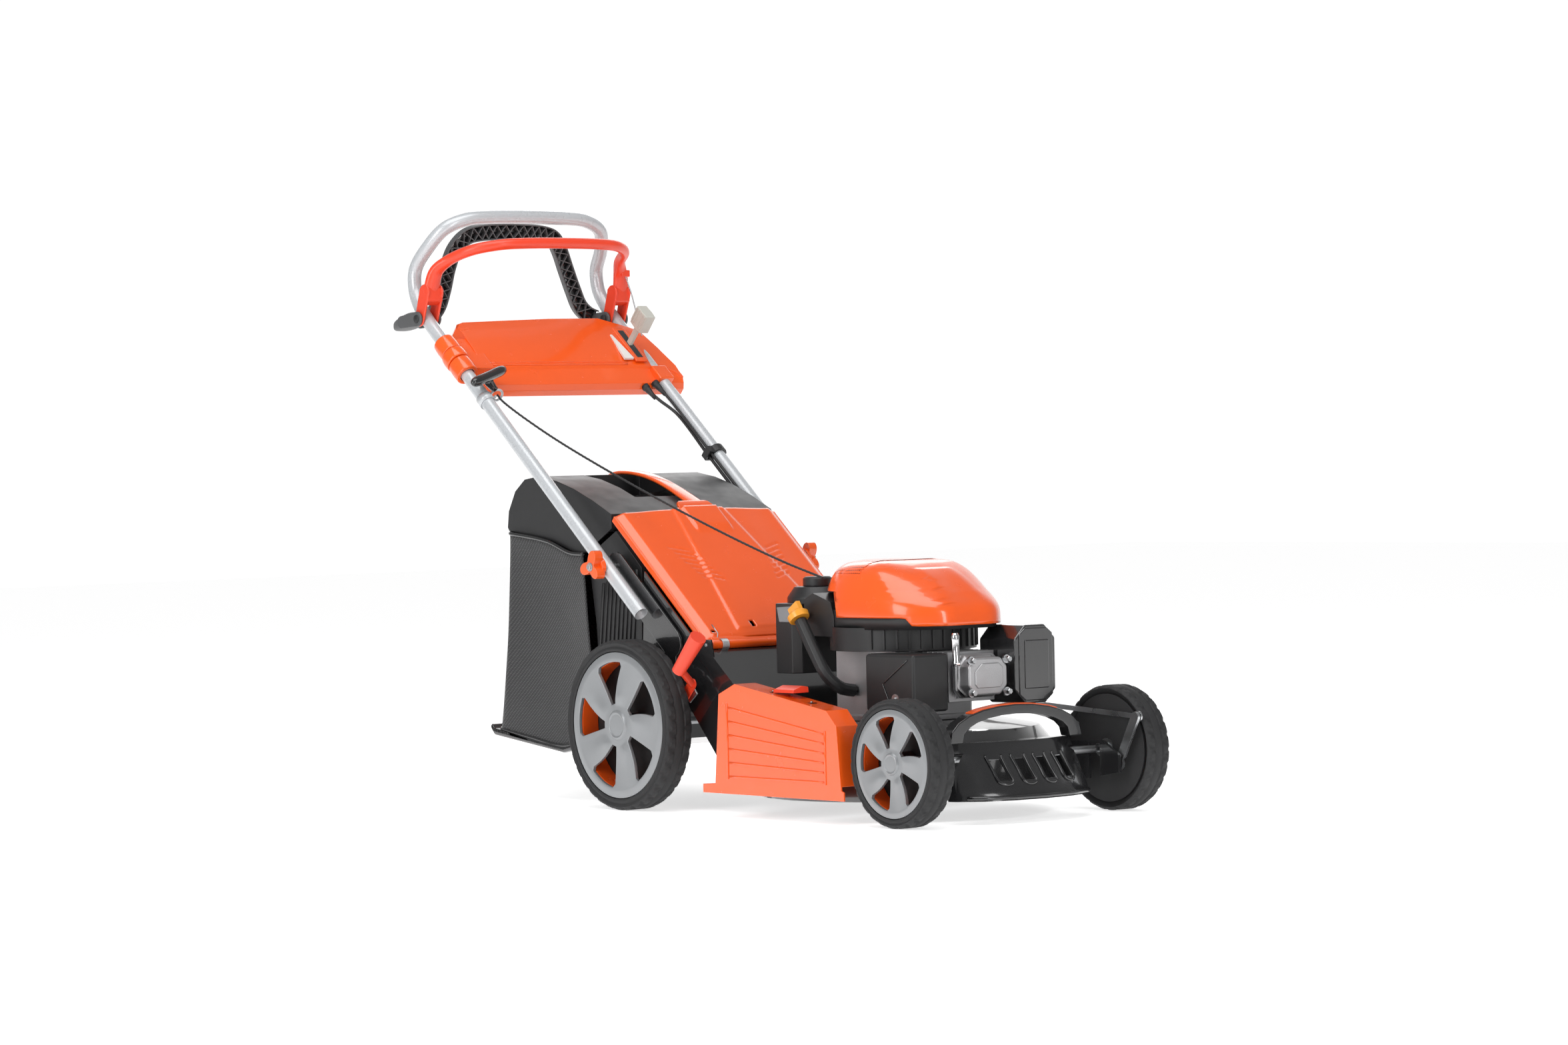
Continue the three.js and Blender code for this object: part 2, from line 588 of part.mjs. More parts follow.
function engineBlock() {
  const flange = box(-92, 92, 162, 350, ENGINE_BASE, 159);
  const plan = [[-78, 180], [-63, 165], [63, 165], [78, 180], [78, 330], [63, 345], [-63, 345], [-78, 330]];
  let block = join(flange, prismZ(plan, ENGINE_BASE, 262), box(-34, 34, 85, 170, 188, 256));
  const fins = 6;
  for (let i = 0; i < fins; i++) {
    const y = 91 + i * 12;
    block = join(block, box(-48, 48, y, y + 3.5, 182, 261));
  }
  return cut(block, bar(V(0, CRANK_Y, 140), V(0, CRANK_Y, 200), 13.2));
}
add('engine_block', engineBlock(), LOOK.aluminium);

const chamfered = (x0, x1, z0, z1, c) => [
  [x0 + c, z0], [x1 - c, z0], [x1, z0 + c], [x1, z1 - c],
  [x1 - c, z1], [x0 + c, z1], [x0, z1 - c], [x0, z0 + c],
];
add('valve_cover', join(
  prismY(chamfered(-40, 40, 193, 252, 14), 50, 76),
  prismY(chamfered(-46, 46, 188, 257, 12), 75, 85 - GAP),
), LOOK.aluminium);

function blowerHousing() {
  const cup = turned([
    [0, 262 + GAP], [BLOWER_RADIUS, 262 + GAP], [BLOWER_RADIUS, 300], [BLOWER_RADIUS - SHEET, 300],
    [BLOWER_RADIUS - SHEET, 266], [0, 266],
  ], 32, V(0, CRANK_Y, 0), V(0, 0, 1));
  const lobe = prismX([[298, 285], [372, 285], [372, 344], [350, 354], [306, 340], [298, 318]], -108, -52);
  return join(cup, lobe);
}
add('blower_housing', blowerHousing(), LOOK.blackPlastic);

// The cowl: each ring gives its height, front edge, front half width, widest half width and rear edge.
const COWL = [
  [303, 87, 64, 118, 376], [330, 92, 64, 118, 376], [358, 125, 58, 112, 372],
  [385, 165, 52, 100, 362], [400, 200, 46, 80, 345], [405, 225, 30, 50, 320],
];
function cowlRing([z, front, frontHalf, half, rear], inset, drop) {
  const middle = 240;
  const f = front + inset;
  const r = rear - inset;
  const w = half - inset;
  const right = [
    [frontHalf - inset, f], [(frontHalf + half) / 2 + 12 - inset, f + 0.35 * (middle - f)], [w, middle],
    [0.93 * w, middle + 0.5 * (r - middle)], [0.62 * w, middle + 0.87 * (r - middle)], [0.2 * w, r],
  ];
  const left = right.map(([x, y]) => [-x, y]).reverse();
  return [...right, ...left].map(([x, y]) => V(x, y, z - drop));
}
function engineCowl() {
  const outer = loft(COWL.map((row) => cowlRing(row, 0, 0)));
  const first = COWL[0];
  const inner = loft([cowlRing(first, 3, 8), ...COWL.map((row) => cowlRing(row, 3.5, 3))]);
  return cut(outer, inner, box(-140, -38, 288, 392, 290, 357));
}
add('engine_cowl', engineCowl(), LOOK.orange);

function fuelTank() {
  const body = prismZ([[-104, 410], [-92, 398], [52, 398], [64, 410],
    [64, 450], [52, 462], [-92, 462], [-104, 450]],
    223, 336);
  const shoulderProfile = [[0, 330], [50, 330], [50, 345], [38, 362], [0, 362]];
  const shoulder = turned(shoulderProfile, 20, V(-35, 425, 0), V(0, 0, 1));
  return join(body, shoulder);
}
add('fuel_tank', fuelTank(), LOOK.blackPlastic);
const fuelCapProfile = [[0, 362 + GAP], [24, 362 + GAP], [24, 375], [20, 378], [0, 378]];
add('fuel_cap', turned(fuelCapProfile, 20, V(-35, 425, 0), V(0, 0, 1)),
  LOOK.blackPlastic);

const FILLER_MOUTH = V(-128, 358, 311);
const FILLER_DIRECTION = V(0, 0.56, 0.83).normalize();
add('oil_filler_tube', swept([
  V(-81, 284, 198), V(-106, 286, 203), V(-124, 297, 222), V(-128, 325, 262), FILLER_MOUTH,
], circlePoints(10.5, 10), 14), LOOK.blackPlastic);
function oilCap() {
  const foot = FILLER_MOUTH.clone().addScaledVector(FILLER_DIRECTION, 2);
  const body = turned([[0, 0], [17, 0], [18, 9], [11, 15], [0, 15]], 16, foot, FILLER_DIRECTION);
  const wingFrom = foot.clone().addScaledVector(FILLER_DIRECTION, 12);
  const wingTo = foot.clone().addScaledVector(FILLER_DIRECTION, 27);
  const across = 13;
  const wing = loft([wingFrom, wingTo].map((p) => [
    V(p.x - 4, p.y - across * 0.83, p.z + across * 0.56),
    V(p.x - 4, p.y + across * 0.83, p.z - across * 0.56),
    V(p.x + 4, p.y + across * 0.83, p.z - across * 0.56),
    V(p.x + 4, p.y - across * 0.83, p.z + across * 0.56),
  ]));
  return join(body, wing);
}
add('oil_cap', oilCap(), LOOK.yellow);

add('air_filter', join(
  box(-135, -62, 74, 162, 170, 261),
  box(-135, -82, 160, 191, 170, 261),
), LOOK.blackPlastic);
add('muffler', prismY(chamfered(52, 138, 175, 300, 22), 45, 130), LOOK.blackPaint);

// ---------------------------------------------------------------- grass catcher
const LID_TOP = [
  [797, 484], [850, 508], [900, 527], [950, 541], [1000, 549],
  [1040, 544], [1068, 524], [1088, 490], [1092, 462],
];
const LID_FOOT = [[1088, 456], [964, 439], [900, 419], [872, 419], [797, 460]];

function bagLid() {
  const lid = prismX([...LID_TOP, ...LID_FOOT], -172, 172);
  const hollow = prismX([
    ...LID_TOP.slice(0, 8).map(([y, z]) => [y * 0.985 + 14, z - 4]),
    [1084, 446], [964, 430], [900, 410], [875, 410], [812, 440],
  ], -168, 168);
  const shell = cut(lid, hollow);
  const pocket = box(-74, 46, 858, 1002, 505, 600);
  const tray = cut(box(-78, 50, 852, 1006, 500, 545), box(-74, 46, 856, 1002, 504, 600));
  const under = prismX([...LID_TOP, ...LID_FOOT], -172, 172);
  return join(cut(shell, pocket), tray.intersect(under));
}
add('bag_lid', bagLid(), LOOK.blackPlastic);

function bagHandle() {
  const band = [[799, 489], [850, 513], [900, 532], [950, 546], [1000, 554], [1034, 550]];
  const lower = band.map(([y, z]) => [y, z - 4]).reverse();
  const strip = prismX([...band, ...lower], 6, 34);
  return cut(strip, prismX([...LID_TOP.map(([y, z]) => [y, z + GAP]), ...LID_FOOT], -172, 172));
}
add('bag_handle', bagHandle(), LOOK.orange);

function bagFrame() {
  const side = [[728, 150], [722, 395], [790, 456], [868, 414], [850, 300], [838, 112], [760, 104]];
  const frame = prismX(side, -168, 168);
  return cut(frame, box(-161, 161, 700, 900, 198, 384));
}
add('bag_frame', bagFrame(), LOOK.blackPlastic);

function bagFabric() {
  const side = [
    [839, 112], [851, 300], [870, 417.5], [900, 417.5], [964, 437.5], [1088, 454.5],
    [1143, 140], [1132, 116], [934, 92],
  ];
  const inner = [
    [800, 118], [800, 386], [876, 409], [902, 410], [966, 430],
    [1082, 446], [1136, 142], [1127, 122], [934, 98],
  ];
  return cut(prismX(side, -180, 180), prismX(inner, -175, 175));
}
add('bag_fabric', bagFabric(), LOOK.fabric);
const trayOutline = [[840, 99], [840, 111], [934, 91.5], [1132.4, 115.6],
  [1141, 126], [1145, 118], [1133, 105], [934, 81]];
add('bag_tray', prismX(trayOutline,
  -182, 182), LOOK.blackPlastic);

// ---------------------------------------------------------------- handlebar and controls
const FOLD_S = -Math.hypot(GRIP_PIVOT.y - FOLD.y, GRIP_PIVOT.z - FOLD.z);
const TUBE_HALF = [
  onTube(TUBE_X, FOLD_S - TUBE_END_DROP, 0), onTube(TUBE_X, FOLD_S, 0), onTube(TUBE_X, -440, 0),
  onTube(TUBE_X, -220, 0), onTube(TUBE_X, -90, 0), onTube(TUBE_X, -14, 0), V(203, 1292, 846),
  V(200, 1312, 878), V(197, 1314, 914),
  V(190, 1290, 950), V(169, 1262, 984), V(130, 1250, 999), V(88, 1247, 1003),
];
const PIVOT_PIN = 4;
function handlebar() {
  let tube = swept(bothSides(TUBE_HALF), circlePoints(TUBE_RADIUS, 10), 74);
  for (const side of [-1, 1]) {
    const boltHole = bar(V(side * 185, FOLD.y, FOLD.z), V(side * 225, FOLD.y, FOLD.z), 4.6);
    const pinAt = (x) => V(side * x, GRIP_PIVOT.y, GRIP_PIVOT.z);
    const pivotPin = bar(pinAt(181), pinAt(227),
      PIVOT_PIN);
    tube = join(cut(tube, boltHole), pivotPin);
  }
  return tube;
}
add('handlebar', handlebar(), LOOK.silverPaint);

const CLAMP_CLEARANCE = 1.2;
const TUBES_LOCAL = [-1, 1].map((side) => bar(
  V(side * TUBE_X, -260, 0), V(side * TUBE_X, 20, 0), TUBE_RADIUS + CLAMP_CLEARANCE, 16));

function consoleShell() {
  const plan = [
    [-168, -190], [-170, -36], [-150, -22], [60, -12], [150, -12],
    [178, -24], [226, -40], [256, -150], [252, -188],
  ];
  const body = prismZ(plan, -22, 16);
  const clamp = box(-228, -164, -156, -66, -20, 20);
  const leverWell = box(168, 187, -132, -50, -20, 40);
  return placeOnTube(cut(join(body, clamp), ...TUBES_LOCAL, leverWell));
}
add('console', consoleShell(), LOOK.orange);

const SPEED_PIVOT = { s: -90, n: -10 };
function speedLever() {
  const arm = box(172, 181, SPEED_PIVOT.s - 6, SPEED_PIVOT.s + 6, SPEED_PIVOT.n - 6, 56);
  const knob = box(168, 185, SPEED_PIVOT.s - 16, SPEED_PIVOT.s + 16, 55, 90);
  return placeOnTube(join(arm, knob));
}
add('speed_lever', speedLever(), LOOK.paleGrey);

const earPlate = (x0, x1, tip, radius) => cut(
  prismX(strap([GRIP_PIVOT.y, GRIP_PIVOT.z], tip, radius), x0, x1),
  bar(V(x0 - 1, GRIP_PIVOT.y, GRIP_PIVOT.z), V(x1 + 1, GRIP_PIVOT.y, GRIP_PIVOT.z), PIVOT_PIN + 0.6));

function brakeBail() {
  const half = [
    V(204, 1259, 866), V(205, 1252, 894), V(192, 1240, 920),
    V(171, 1188, 943), V(130, 1160, 951), V(80, 1148, 953),
  ];
  const parts = [swept(bothSides(half), circlePoints(10, 8), 34)];
  for (const side of [-1, 1]) {
    for (const [near, far] of [[187.3, 191.2], [216.8, 220.8]]) {
      const x0 = side > 0 ? near : -far;
      parts.push(earPlate(x0, x0 + far - near, [1257, 874], 13));
    }
    parts.push(box(side > 0 ? 188 : -220, side > 0 ? 220 : -188, 1251, 1264, 866, 882));
  }
  return join(...parts);
}
add('brake_bail', brakeBail(), LOOK.redOrange);

function driveBail() {
  const half = [
    V(184, 1303, 829), V(165, 1308, 841), V(151, 1309, 858), V(140, 1311, 882), V(128, 1314, 915),
    V(114, 1312, 950), V(94, 1304, 972), V(64, 1300, 979),
  ];
  const parts = [swept(bothSides(half), circlePoints(9, 8), 32)];
  for (const side of [-1, 1]) {
    for (const [near, far] of [[182, 186.2], [221.8, 226]]) {
      const x0 = side > 0 ? near : -far;
      parts.push(earPlate(x0, x0 + far - near, [1346, 820], 13));
    }
    parts.push(box(side > 0 ? 183 : -225, side > 0 ? 225 : -183, 1330, REAR_Y, 808, 830));
  }
  return join(...parts);
}
add('drive_bail', driveBail(), LOOK.greyPlastic);

// Clamp knobs: a bolt through the bracket and the tube, and a winged grip outside.
function clampKnob(side) {
  const bolt = bar(V(side * 179, FOLD.y, FOLD.z), V(side * 220, FOLD.y, FOLD.z), 4);
  const body = bar(V(side * 217, FOLD.y, FOLD.z), V(side * 240, FOLD.y, FOLD.z), 16);
  const wing = prismX(strap([FOLD.y - 24, FOLD.z - 18], [FOLD.y + 24, FOLD.z + 18], 10),
    side > 0 ? 224 : -246, side > 0 ? 246 : -224);
  return join(bolt, body, wing);
}
add('clamp_knob_left', clampKnob(1), LOOK.orange);
add('clamp_knob_right', clampKnob(-1), LOOK.orange);

// Starter: rope guide on the right-hand tube, and the T-grip that parks against it.
const GUIDE = { x: -175, s: -214, n: 3 };
function ropeGuide() {
  const collar = cut(
    bar(V(-TUBE_X, -232, 0), V(-TUBE_X, -216, 0), 15.5, 16),
    bar(V(-TUBE_X, -240, 0), V(-TUBE_X, -200, 0), TUBE_RADIUS + 0.5));
  const loop = new THREE.TorusGeometry(9, 2.2, 8, 14).rotateX(Math.PI / 2);
  loop.translate(GUIDE.x, GUIDE.s, GUIDE.n);
  const stem = bar(V(-190, -222, 1), V(GUIDE.x - 8, GUIDE.s, GUIDE.n), 2.4, 8);
  return placeOnTube(join(collar, solid(loop), stem));
}
add('rope_guide', ropeGuide(), LOOK.steel);

function starterGrip() {
  const tee = bar(V(-241, -214, 29), V(-147, -174, 29), 11, 12);
  const stem = bar(V(-194, -194, 28), V(GUIDE.x - 3, GUIDE.s + 5, GUIDE.n + 9), 7, 10, 4);
  return placeOnTube(join(tee, stem));
}
add('starter_grip', starterGrip(), LOOK.blackPlastic);

// Cable clips on the left-hand tube; each also holds the two cables beside the tube.
const CABLE_X = 187.2;
const CABLE_LANES = { brake: -4, drive: 4 };
function cableClip(s) {
  const ring = join(
    bar(V(TUBE_X, s - 7, 0), V(TUBE_X, s + 7, 0), 16.5, 16),
    box(CABLE_X - 7, TUBE_X, s - 7, s + 7, -11, 11));
  const cables = box(CABLE_X - 3.6, CABLE_X + 3.6, s - 9, s + 9, -7.8, 7.8);
  const tube = bar(V(TUBE_X, s - 9, 0), V(TUBE_X, s + 9, 0), TUBE_RADIUS + 0.5);
  return placeOnTube(cut(ring, tube, cables));
}
add('cable_clip_upper', cableClip(-377), LOOK.blackPlastic);
add('cable_clip_lower', cableClip(-557), LOOK.blackPlastic);

// ---------------------------------------------------------------- cables and starter rope
const lane = (s, n) => onTube(CABLE_X, s, n);
add('brake_cable', swept([
  onTube(163, -196, -4), onTube(172, -225, -4), lane(-262, CABLE_LANES.brake), lane(-377, CABLE_LANES.brake),
  lane(-440, CABLE_LANES.brake), lane(-500, CABLE_LANES.brake), lane(-557, CABLE_LANES.brake),
  lane(-578, CABLE_LANES.brake), V(183, 815, 437), V(176.5, 790, 424), V(176, 750, 412), V(176, 705, 396.5),
  V(176, ...flapPoint(150, -9)), V(176, ...flapPoint(60, -6)), V(176, ...flapPoint(15, 18)),
  V(160, 505, 302), V(110, 475, 325), V(60, 455, 341), V(48, 450, 340.5),
], circlePoints(2.8, 8), 60), LOOK.rubber);
add('drive_cable', swept([
  onTube(181, -196, 4), onTube(186, -228, 4), lane(-270, CABLE_LANES.drive), lane(-377, CABLE_LANES.drive),
  lane(-470, CABLE_LANES.drive), lane(-557, CABLE_LANES.drive), lane(-578, CABLE_LANES.drive),
  onTube(189, -610, 12), onTube(189.2, -660, 13),
  onTube(189.4, -720, 4), V(189.5, 668, 300), V(189.5, 664, 240), V(189, 662, 205), V(184, 662, 180),
  V(172, 662, 172.5), V(130, 663, 172.5), V(60, 664, 172.5), V(30, 666, 171),
], circlePoints(2.4, 8), 64), LOOK.rubber);
add('starter_rope', swept([
  onTube(GUIDE.x, GUIDE.s + 1, GUIDE.n), onTube(GUIDE.x + 0.5, GUIDE.s - 14, GUIDE.n),
  V(-160, 990, 622), V(-140, 800, 540),
  V(-118, 600, 462), V(-100, 440, 406), V(-90, 345, 378),
], circlePoints(2, 8), 40), LOOK.blackPlastic);

export default mower;
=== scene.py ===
# A self-propelled lawn mower with its grass catcher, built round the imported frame.
import json
import math

import bmesh
import bpy
from mathutils import Matrix, Vector
from mathutils.bvhtree import BVHTree

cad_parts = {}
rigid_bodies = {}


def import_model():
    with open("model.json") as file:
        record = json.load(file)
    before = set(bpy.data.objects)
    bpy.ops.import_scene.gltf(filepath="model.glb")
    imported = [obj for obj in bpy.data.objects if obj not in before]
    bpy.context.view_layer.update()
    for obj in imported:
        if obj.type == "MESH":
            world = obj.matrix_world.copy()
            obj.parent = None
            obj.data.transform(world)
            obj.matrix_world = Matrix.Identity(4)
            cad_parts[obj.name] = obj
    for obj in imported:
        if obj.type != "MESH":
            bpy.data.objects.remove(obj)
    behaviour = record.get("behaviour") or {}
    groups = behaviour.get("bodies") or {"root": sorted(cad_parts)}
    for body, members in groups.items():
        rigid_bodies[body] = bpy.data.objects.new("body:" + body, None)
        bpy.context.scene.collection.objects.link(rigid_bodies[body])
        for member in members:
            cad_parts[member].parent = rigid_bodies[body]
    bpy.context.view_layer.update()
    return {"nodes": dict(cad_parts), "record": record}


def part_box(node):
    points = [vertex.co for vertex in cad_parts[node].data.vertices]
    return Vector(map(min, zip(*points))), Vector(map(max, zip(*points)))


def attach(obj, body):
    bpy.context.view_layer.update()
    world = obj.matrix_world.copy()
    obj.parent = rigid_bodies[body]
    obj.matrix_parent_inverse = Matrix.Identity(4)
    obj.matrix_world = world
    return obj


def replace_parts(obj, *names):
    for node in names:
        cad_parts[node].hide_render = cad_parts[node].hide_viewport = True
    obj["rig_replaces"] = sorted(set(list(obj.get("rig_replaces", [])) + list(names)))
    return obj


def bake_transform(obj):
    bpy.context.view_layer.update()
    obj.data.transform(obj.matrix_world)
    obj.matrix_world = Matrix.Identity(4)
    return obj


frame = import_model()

NODES = frame["nodes"]
MM = 0.001
WHEELS = ("front_left", "front_right", "rear_left", "rear_right")


def middle(node):
    low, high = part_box(node)
    return (low + high) / 2


AXLE_Y = middle("tyre_front_left").y / MM      # front axle line, the lengthwise zero below
GRIP_PIVOT = Vector((0, 1273, 826))            # bails' pivot, millimetres from the front axle line
FOLD = Vector((0, 770, 398))                   # handle clamp bolts
SLOPE = math.atan2(GRIP_PIVOT.z - FOLD.z, GRIP_PIVOT.y - FOLD.y)
COS, SIN = math.cos(SLOPE), math.sin(SLOPE)
TUBE_X = 204


def at(x, y, z):
    """A point given in millimetres from the front axle line on the ground."""
    return Vector((x, y + AXLE_Y, z)) * MM


def on_tube(x, s, n):
    """Millimetres: s runs up the handle from the bails' pivot, n stands out of the handle's plane."""
    return (x, GRIP_PIVOT.y + s * COS - n * SIN, GRIP_PIVOT.z + s * SIN + n * COS)


# ---------------------------------------------------------------- camera, floor and light
SENSOR = 36.0
FAR_WALL = (0.63, 0.78, 0.0)


def add_camera():
    forward = Vector((0.62990, 0.77652, -0.01565)).normalized()
    up = Vector((0.02751, -0.00217, 0.99962))
    right = forward.cross(up).normalized()
    up = right.cross(forward).normalized()
    data = bpy.data.cameras.new("camera")
    data.sensor_width = SENSOR
    data.lens = 110.53
    camera = bpy.data.objects.new("camera", data)
    turn = Matrix((right, up, -forward)).transposed().to_4x4()
    camera.matrix_world = Matrix.Translation(at(-5005.84, -5619.56, 589.22)) @ turn
    bpy.context.scene.collection.objects.link(camera)
    bpy.context.scene.camera = camera


def add_area(name, place, target, size, power, shape_y=None, tint=(1, 1, 1)):
    data = bpy.data.lights.new(name, "AREA")
    data.shape = "RECTANGLE"
    data.size = size
    data.size_y = shape_y or size
    data.energy = power
    data.color = tint
    lamp = bpy.data.objects.new(name, data)
    lamp.location = place
    lamp.rotation_euler = (Vector(target) - Vector(place)).to_track_quat("-Z", "Y").to_euler()
    bpy.context.scene.collection.objects.link(lamp)


def add_studio():
    world = bpy.data.worlds.new("studio")
    world.use_nodes = True
    nodes, links = world.node_tree.nodes, world.node_tree.links
    background = nodes["Background"]
    background.inputs[0].default_value = (1, 1, 1, 1)
    # A bright wall on the far side of the mower, and a dim room elsewhere.
    heading = nodes.new("ShaderNodeTexCoord")
    toward = nodes.new("ShaderNodeVectorMath")
    toward.operation = "DOT_PRODUCT"
    toward.inputs[1].default_value = FAR_WALL
    links.new(heading.outputs["Generated"], toward.inputs[0])
    glow = nodes.new("ShaderNodeMapRange")
    glow.inputs["From Min"].default_value = 0.55
    glow.inputs["From Max"].default_value = 0.90
    glow.inputs["To Min"].default_value = 0.30
    glow.inputs["To Max"].default_value = 1.05
    links.new(toward.outputs["Value"], glow.inputs["Value"])
    links.new(glow.outputs["Result"], background.inputs[1])
    bpy.context.scene.world = world
    bpy.context.scene.view_settings.view_transform = "Standard"
    add_area("top_softbox", (-0.6, -0.5, 3.2), (0, 0, 0.4), 2.6, 48, 2.0)
    add_area("near_softbox", (-3.4, -0.6, 1.8), (0, 0.1, 0.4), 1.6, 52, 2.4)
    add_area("front_strip", (-0.6, -3.8, 1.5), (0, -0.2, 0.3), 0.7, 30, 2.2)
    add_area("rear_rim", (2.2, 2.6, 2.2), (0, 0, 0.5), 1.6, 14, 1.6)
    mesh = bpy.data.meshes.new("floor")
    half = 14
    corners = [(-half, -half, 0), (half, -half, 0), (half, half, 0), (-half, half, 0)]
    mesh.from_pydata(corners, [], [(0, 1, 2, 3)])
    floor = bpy.data.objects.new("floor", mesh)
    bpy.context.scene.collection.objects.link(floor)
    pale = bpy.data.materials.new("floor_paper")
    pale.use_nodes = True
    shader = pale.node_tree.nodes["Principled BSDF"]
    shader.inputs["Base Color"].default_value = (0.93, 0.93, 0.93, 1)
    shader.inputs["Roughness"].default_value = 0.9
    shader.inputs["Emission Color"].default_value = (1, 1, 1, 1)
    shader.inputs["Emission Strength"].default_value = 0.62
    floor.data.materials.append(pale)


# ---------------------------------------------------------------- materials
def surface(name, color, rough, metal=0.0, coat=0.0, coat_rough=0.06, grain=700, bump=0.05, mottle=0.06,
            rough_swing=0.10, sheen=0.0, specular=0.5):
    """A finish with slight colour drift, uneven roughness and a fine surface grain."""
    material = bpy.data.materials.new(name)
    material.use_nodes = True
    nodes, links = material.node_tree.nodes, material.node_tree.links
    shader = nodes["Principled BSDF"]
    shader.inputs["Metallic"].default_value = metal
    shader.inputs["Coat Weight"].default_value = coat
    shader.inputs["Coat Roughness"].default_value = coat_rough
    shader.inputs["Sheen Weight"].default_value = sheen
    shader.inputs["Specular IOR Level"].default_value = specular
    place = nodes.new("ShaderNodeTexCoord")

    def noise_at(scale, detail):
        texture = nodes.new("ShaderNodeTexNoise")
        texture.inputs["Scale"].default_value = scale
        texture.inputs["Detail"].default_value = detail
        links.new(place.outputs["Object"], texture.inputs["Vector"])
        return texture

    drift = nodes.new("ShaderNodeMix")
    drift.data_type = "RGBA"
    drift.inputs[6].default_value = (*[c * (1 - mottle) for c in color], 1)
    drift.inputs[7].default_value = (*[min(1, c * (1 + mottle)) for c in color], 1)
    links.new(noise_at(14, 5).outputs["Fac"], drift.inputs[0])
    links.new(drift.outputs[2], shader.inputs["Base Color"])
    spread = nodes.new("ShaderNodeMapRange")
    spread.inputs["To Min"].default_value = max(0.02, rough - rough_swing)
    spread.inputs["To Max"].default_value = min(1, rough + rough_swing)
    links.new(noise_at(38, 6).outputs["Fac"], spread.inputs["Value"])
    links.new(spread.outputs["Result"], shader.inputs["Roughness"])
    relief = nodes.new("ShaderNodeBump")
    relief.inputs["Strength"].default_value = bump
    relief.inputs["Distance"].default_value = 0.0006
    links.new(noise_at(grain, 3).outputs["Fac"], relief.inputs["Height"])
    links.new(relief.outputs["Normal"], shader.inputs["Normal"])
    return material


def woven_cloth(name):
    """Dark ribbed mesh cloth: warp and weft bands, with lighter threads at the crossings."""
    material = surface(name, (0.022, 0.022, 0.024), 0.85, mottle=0.25, sheen=0.35)
    nodes, links = material.node_tree.nodes, material.node_tree.links
    shader = nodes["Principled BSDF"]
    place = nodes.new("ShaderNodeTexCoord")
    bands = []
    for direction, period in (("Z", 0.0026), ("DIAGONAL", 0.0038)):
        wave = nodes.new("ShaderNodeTexWave")
        wave.bands_direction = direction
        wave.inputs["Scale"].default_value = math.pi / 10 / period
        wave.inputs["Distortion"].default_value = 0.6
        wave.inputs["Detail"].default_value = 2
        links.new(place.outputs["Object"], wave.inputs["Vector"])
        bands.append(wave)
    weave = nodes.new("ShaderNodeMath")
    weave.operation = "MULTIPLY"
    links.new(bands[0].outputs["Fac"], weave.inputs[0])
    links.new(bands[1].outputs["Fac"], weave.inputs[1])
    ramp = nodes.new("ShaderNodeMix")
    ramp.data_type = "RGBA"
    ramp.inputs[6].default_value = (0.010, 0.010, 0.011, 1)
    ramp.inputs[7].default_value = (0.060, 0.060, 0.062, 1)
    links.new(weave.outputs[0], ramp.inputs[0])
    links.new(ramp.outputs[2], shader.inputs["Base Color"])
    relief = nodes.new("ShaderNodeBump")
    relief.inputs["Strength"].default_value = 0.7
    relief.inputs["Distance"].default_value = 0.0008
    links.new(weave.outputs[0], relief.inputs["Height"])
    links.new(relief.outputs["Normal"], shader.inputs["Normal"])
    return material


def painted_hole_shade_plastic(name, color):
    """Glossy plastic with a close grid of small spots of painted shade, the orange darkened as if shadowed
    inside holes.
    """
    material = surface(name, color, 0.24, coat=0.6, bump=0.04, mottle=0.03)
    nodes, links = material.node_tree.nodes, material.node_tree.links
    place = nodes.new("ShaderNodeTexCoord")
    cells = nodes.new("ShaderNodeTexVoronoi")
    cells.inputs["Scale"].default_value = 210
    cells.inputs["Randomness"].default_value = 0
    links.new(place.outputs["Object"], cells.inputs["Vector"])
    hole_shade_mask = nodes.new("ShaderNodeMath")
    hole_shade_mask.operation = "LESS_THAN"
    hole_shade_mask.inputs[1].default_value = 0.30
    links.new(cells.outputs["Distance"], hole_shade_mask.inputs[0])
    mix = nodes.new("ShaderNodeMix")
    mix.data_type = "RGBA"
    mix.inputs[6].default_value = (*color, 1)
    # Spot colour: painted shade, the orange as if in shadow down the holes.
    mix.inputs[7].default_value = (0.12, 0.012, 0.004, 1)
    links.new(hole_shade_mask.outputs[0], mix.inputs[0])
    links.new(mix.outputs[2], nodes["Principled BSDF"].inputs["Base Color"])
    return material


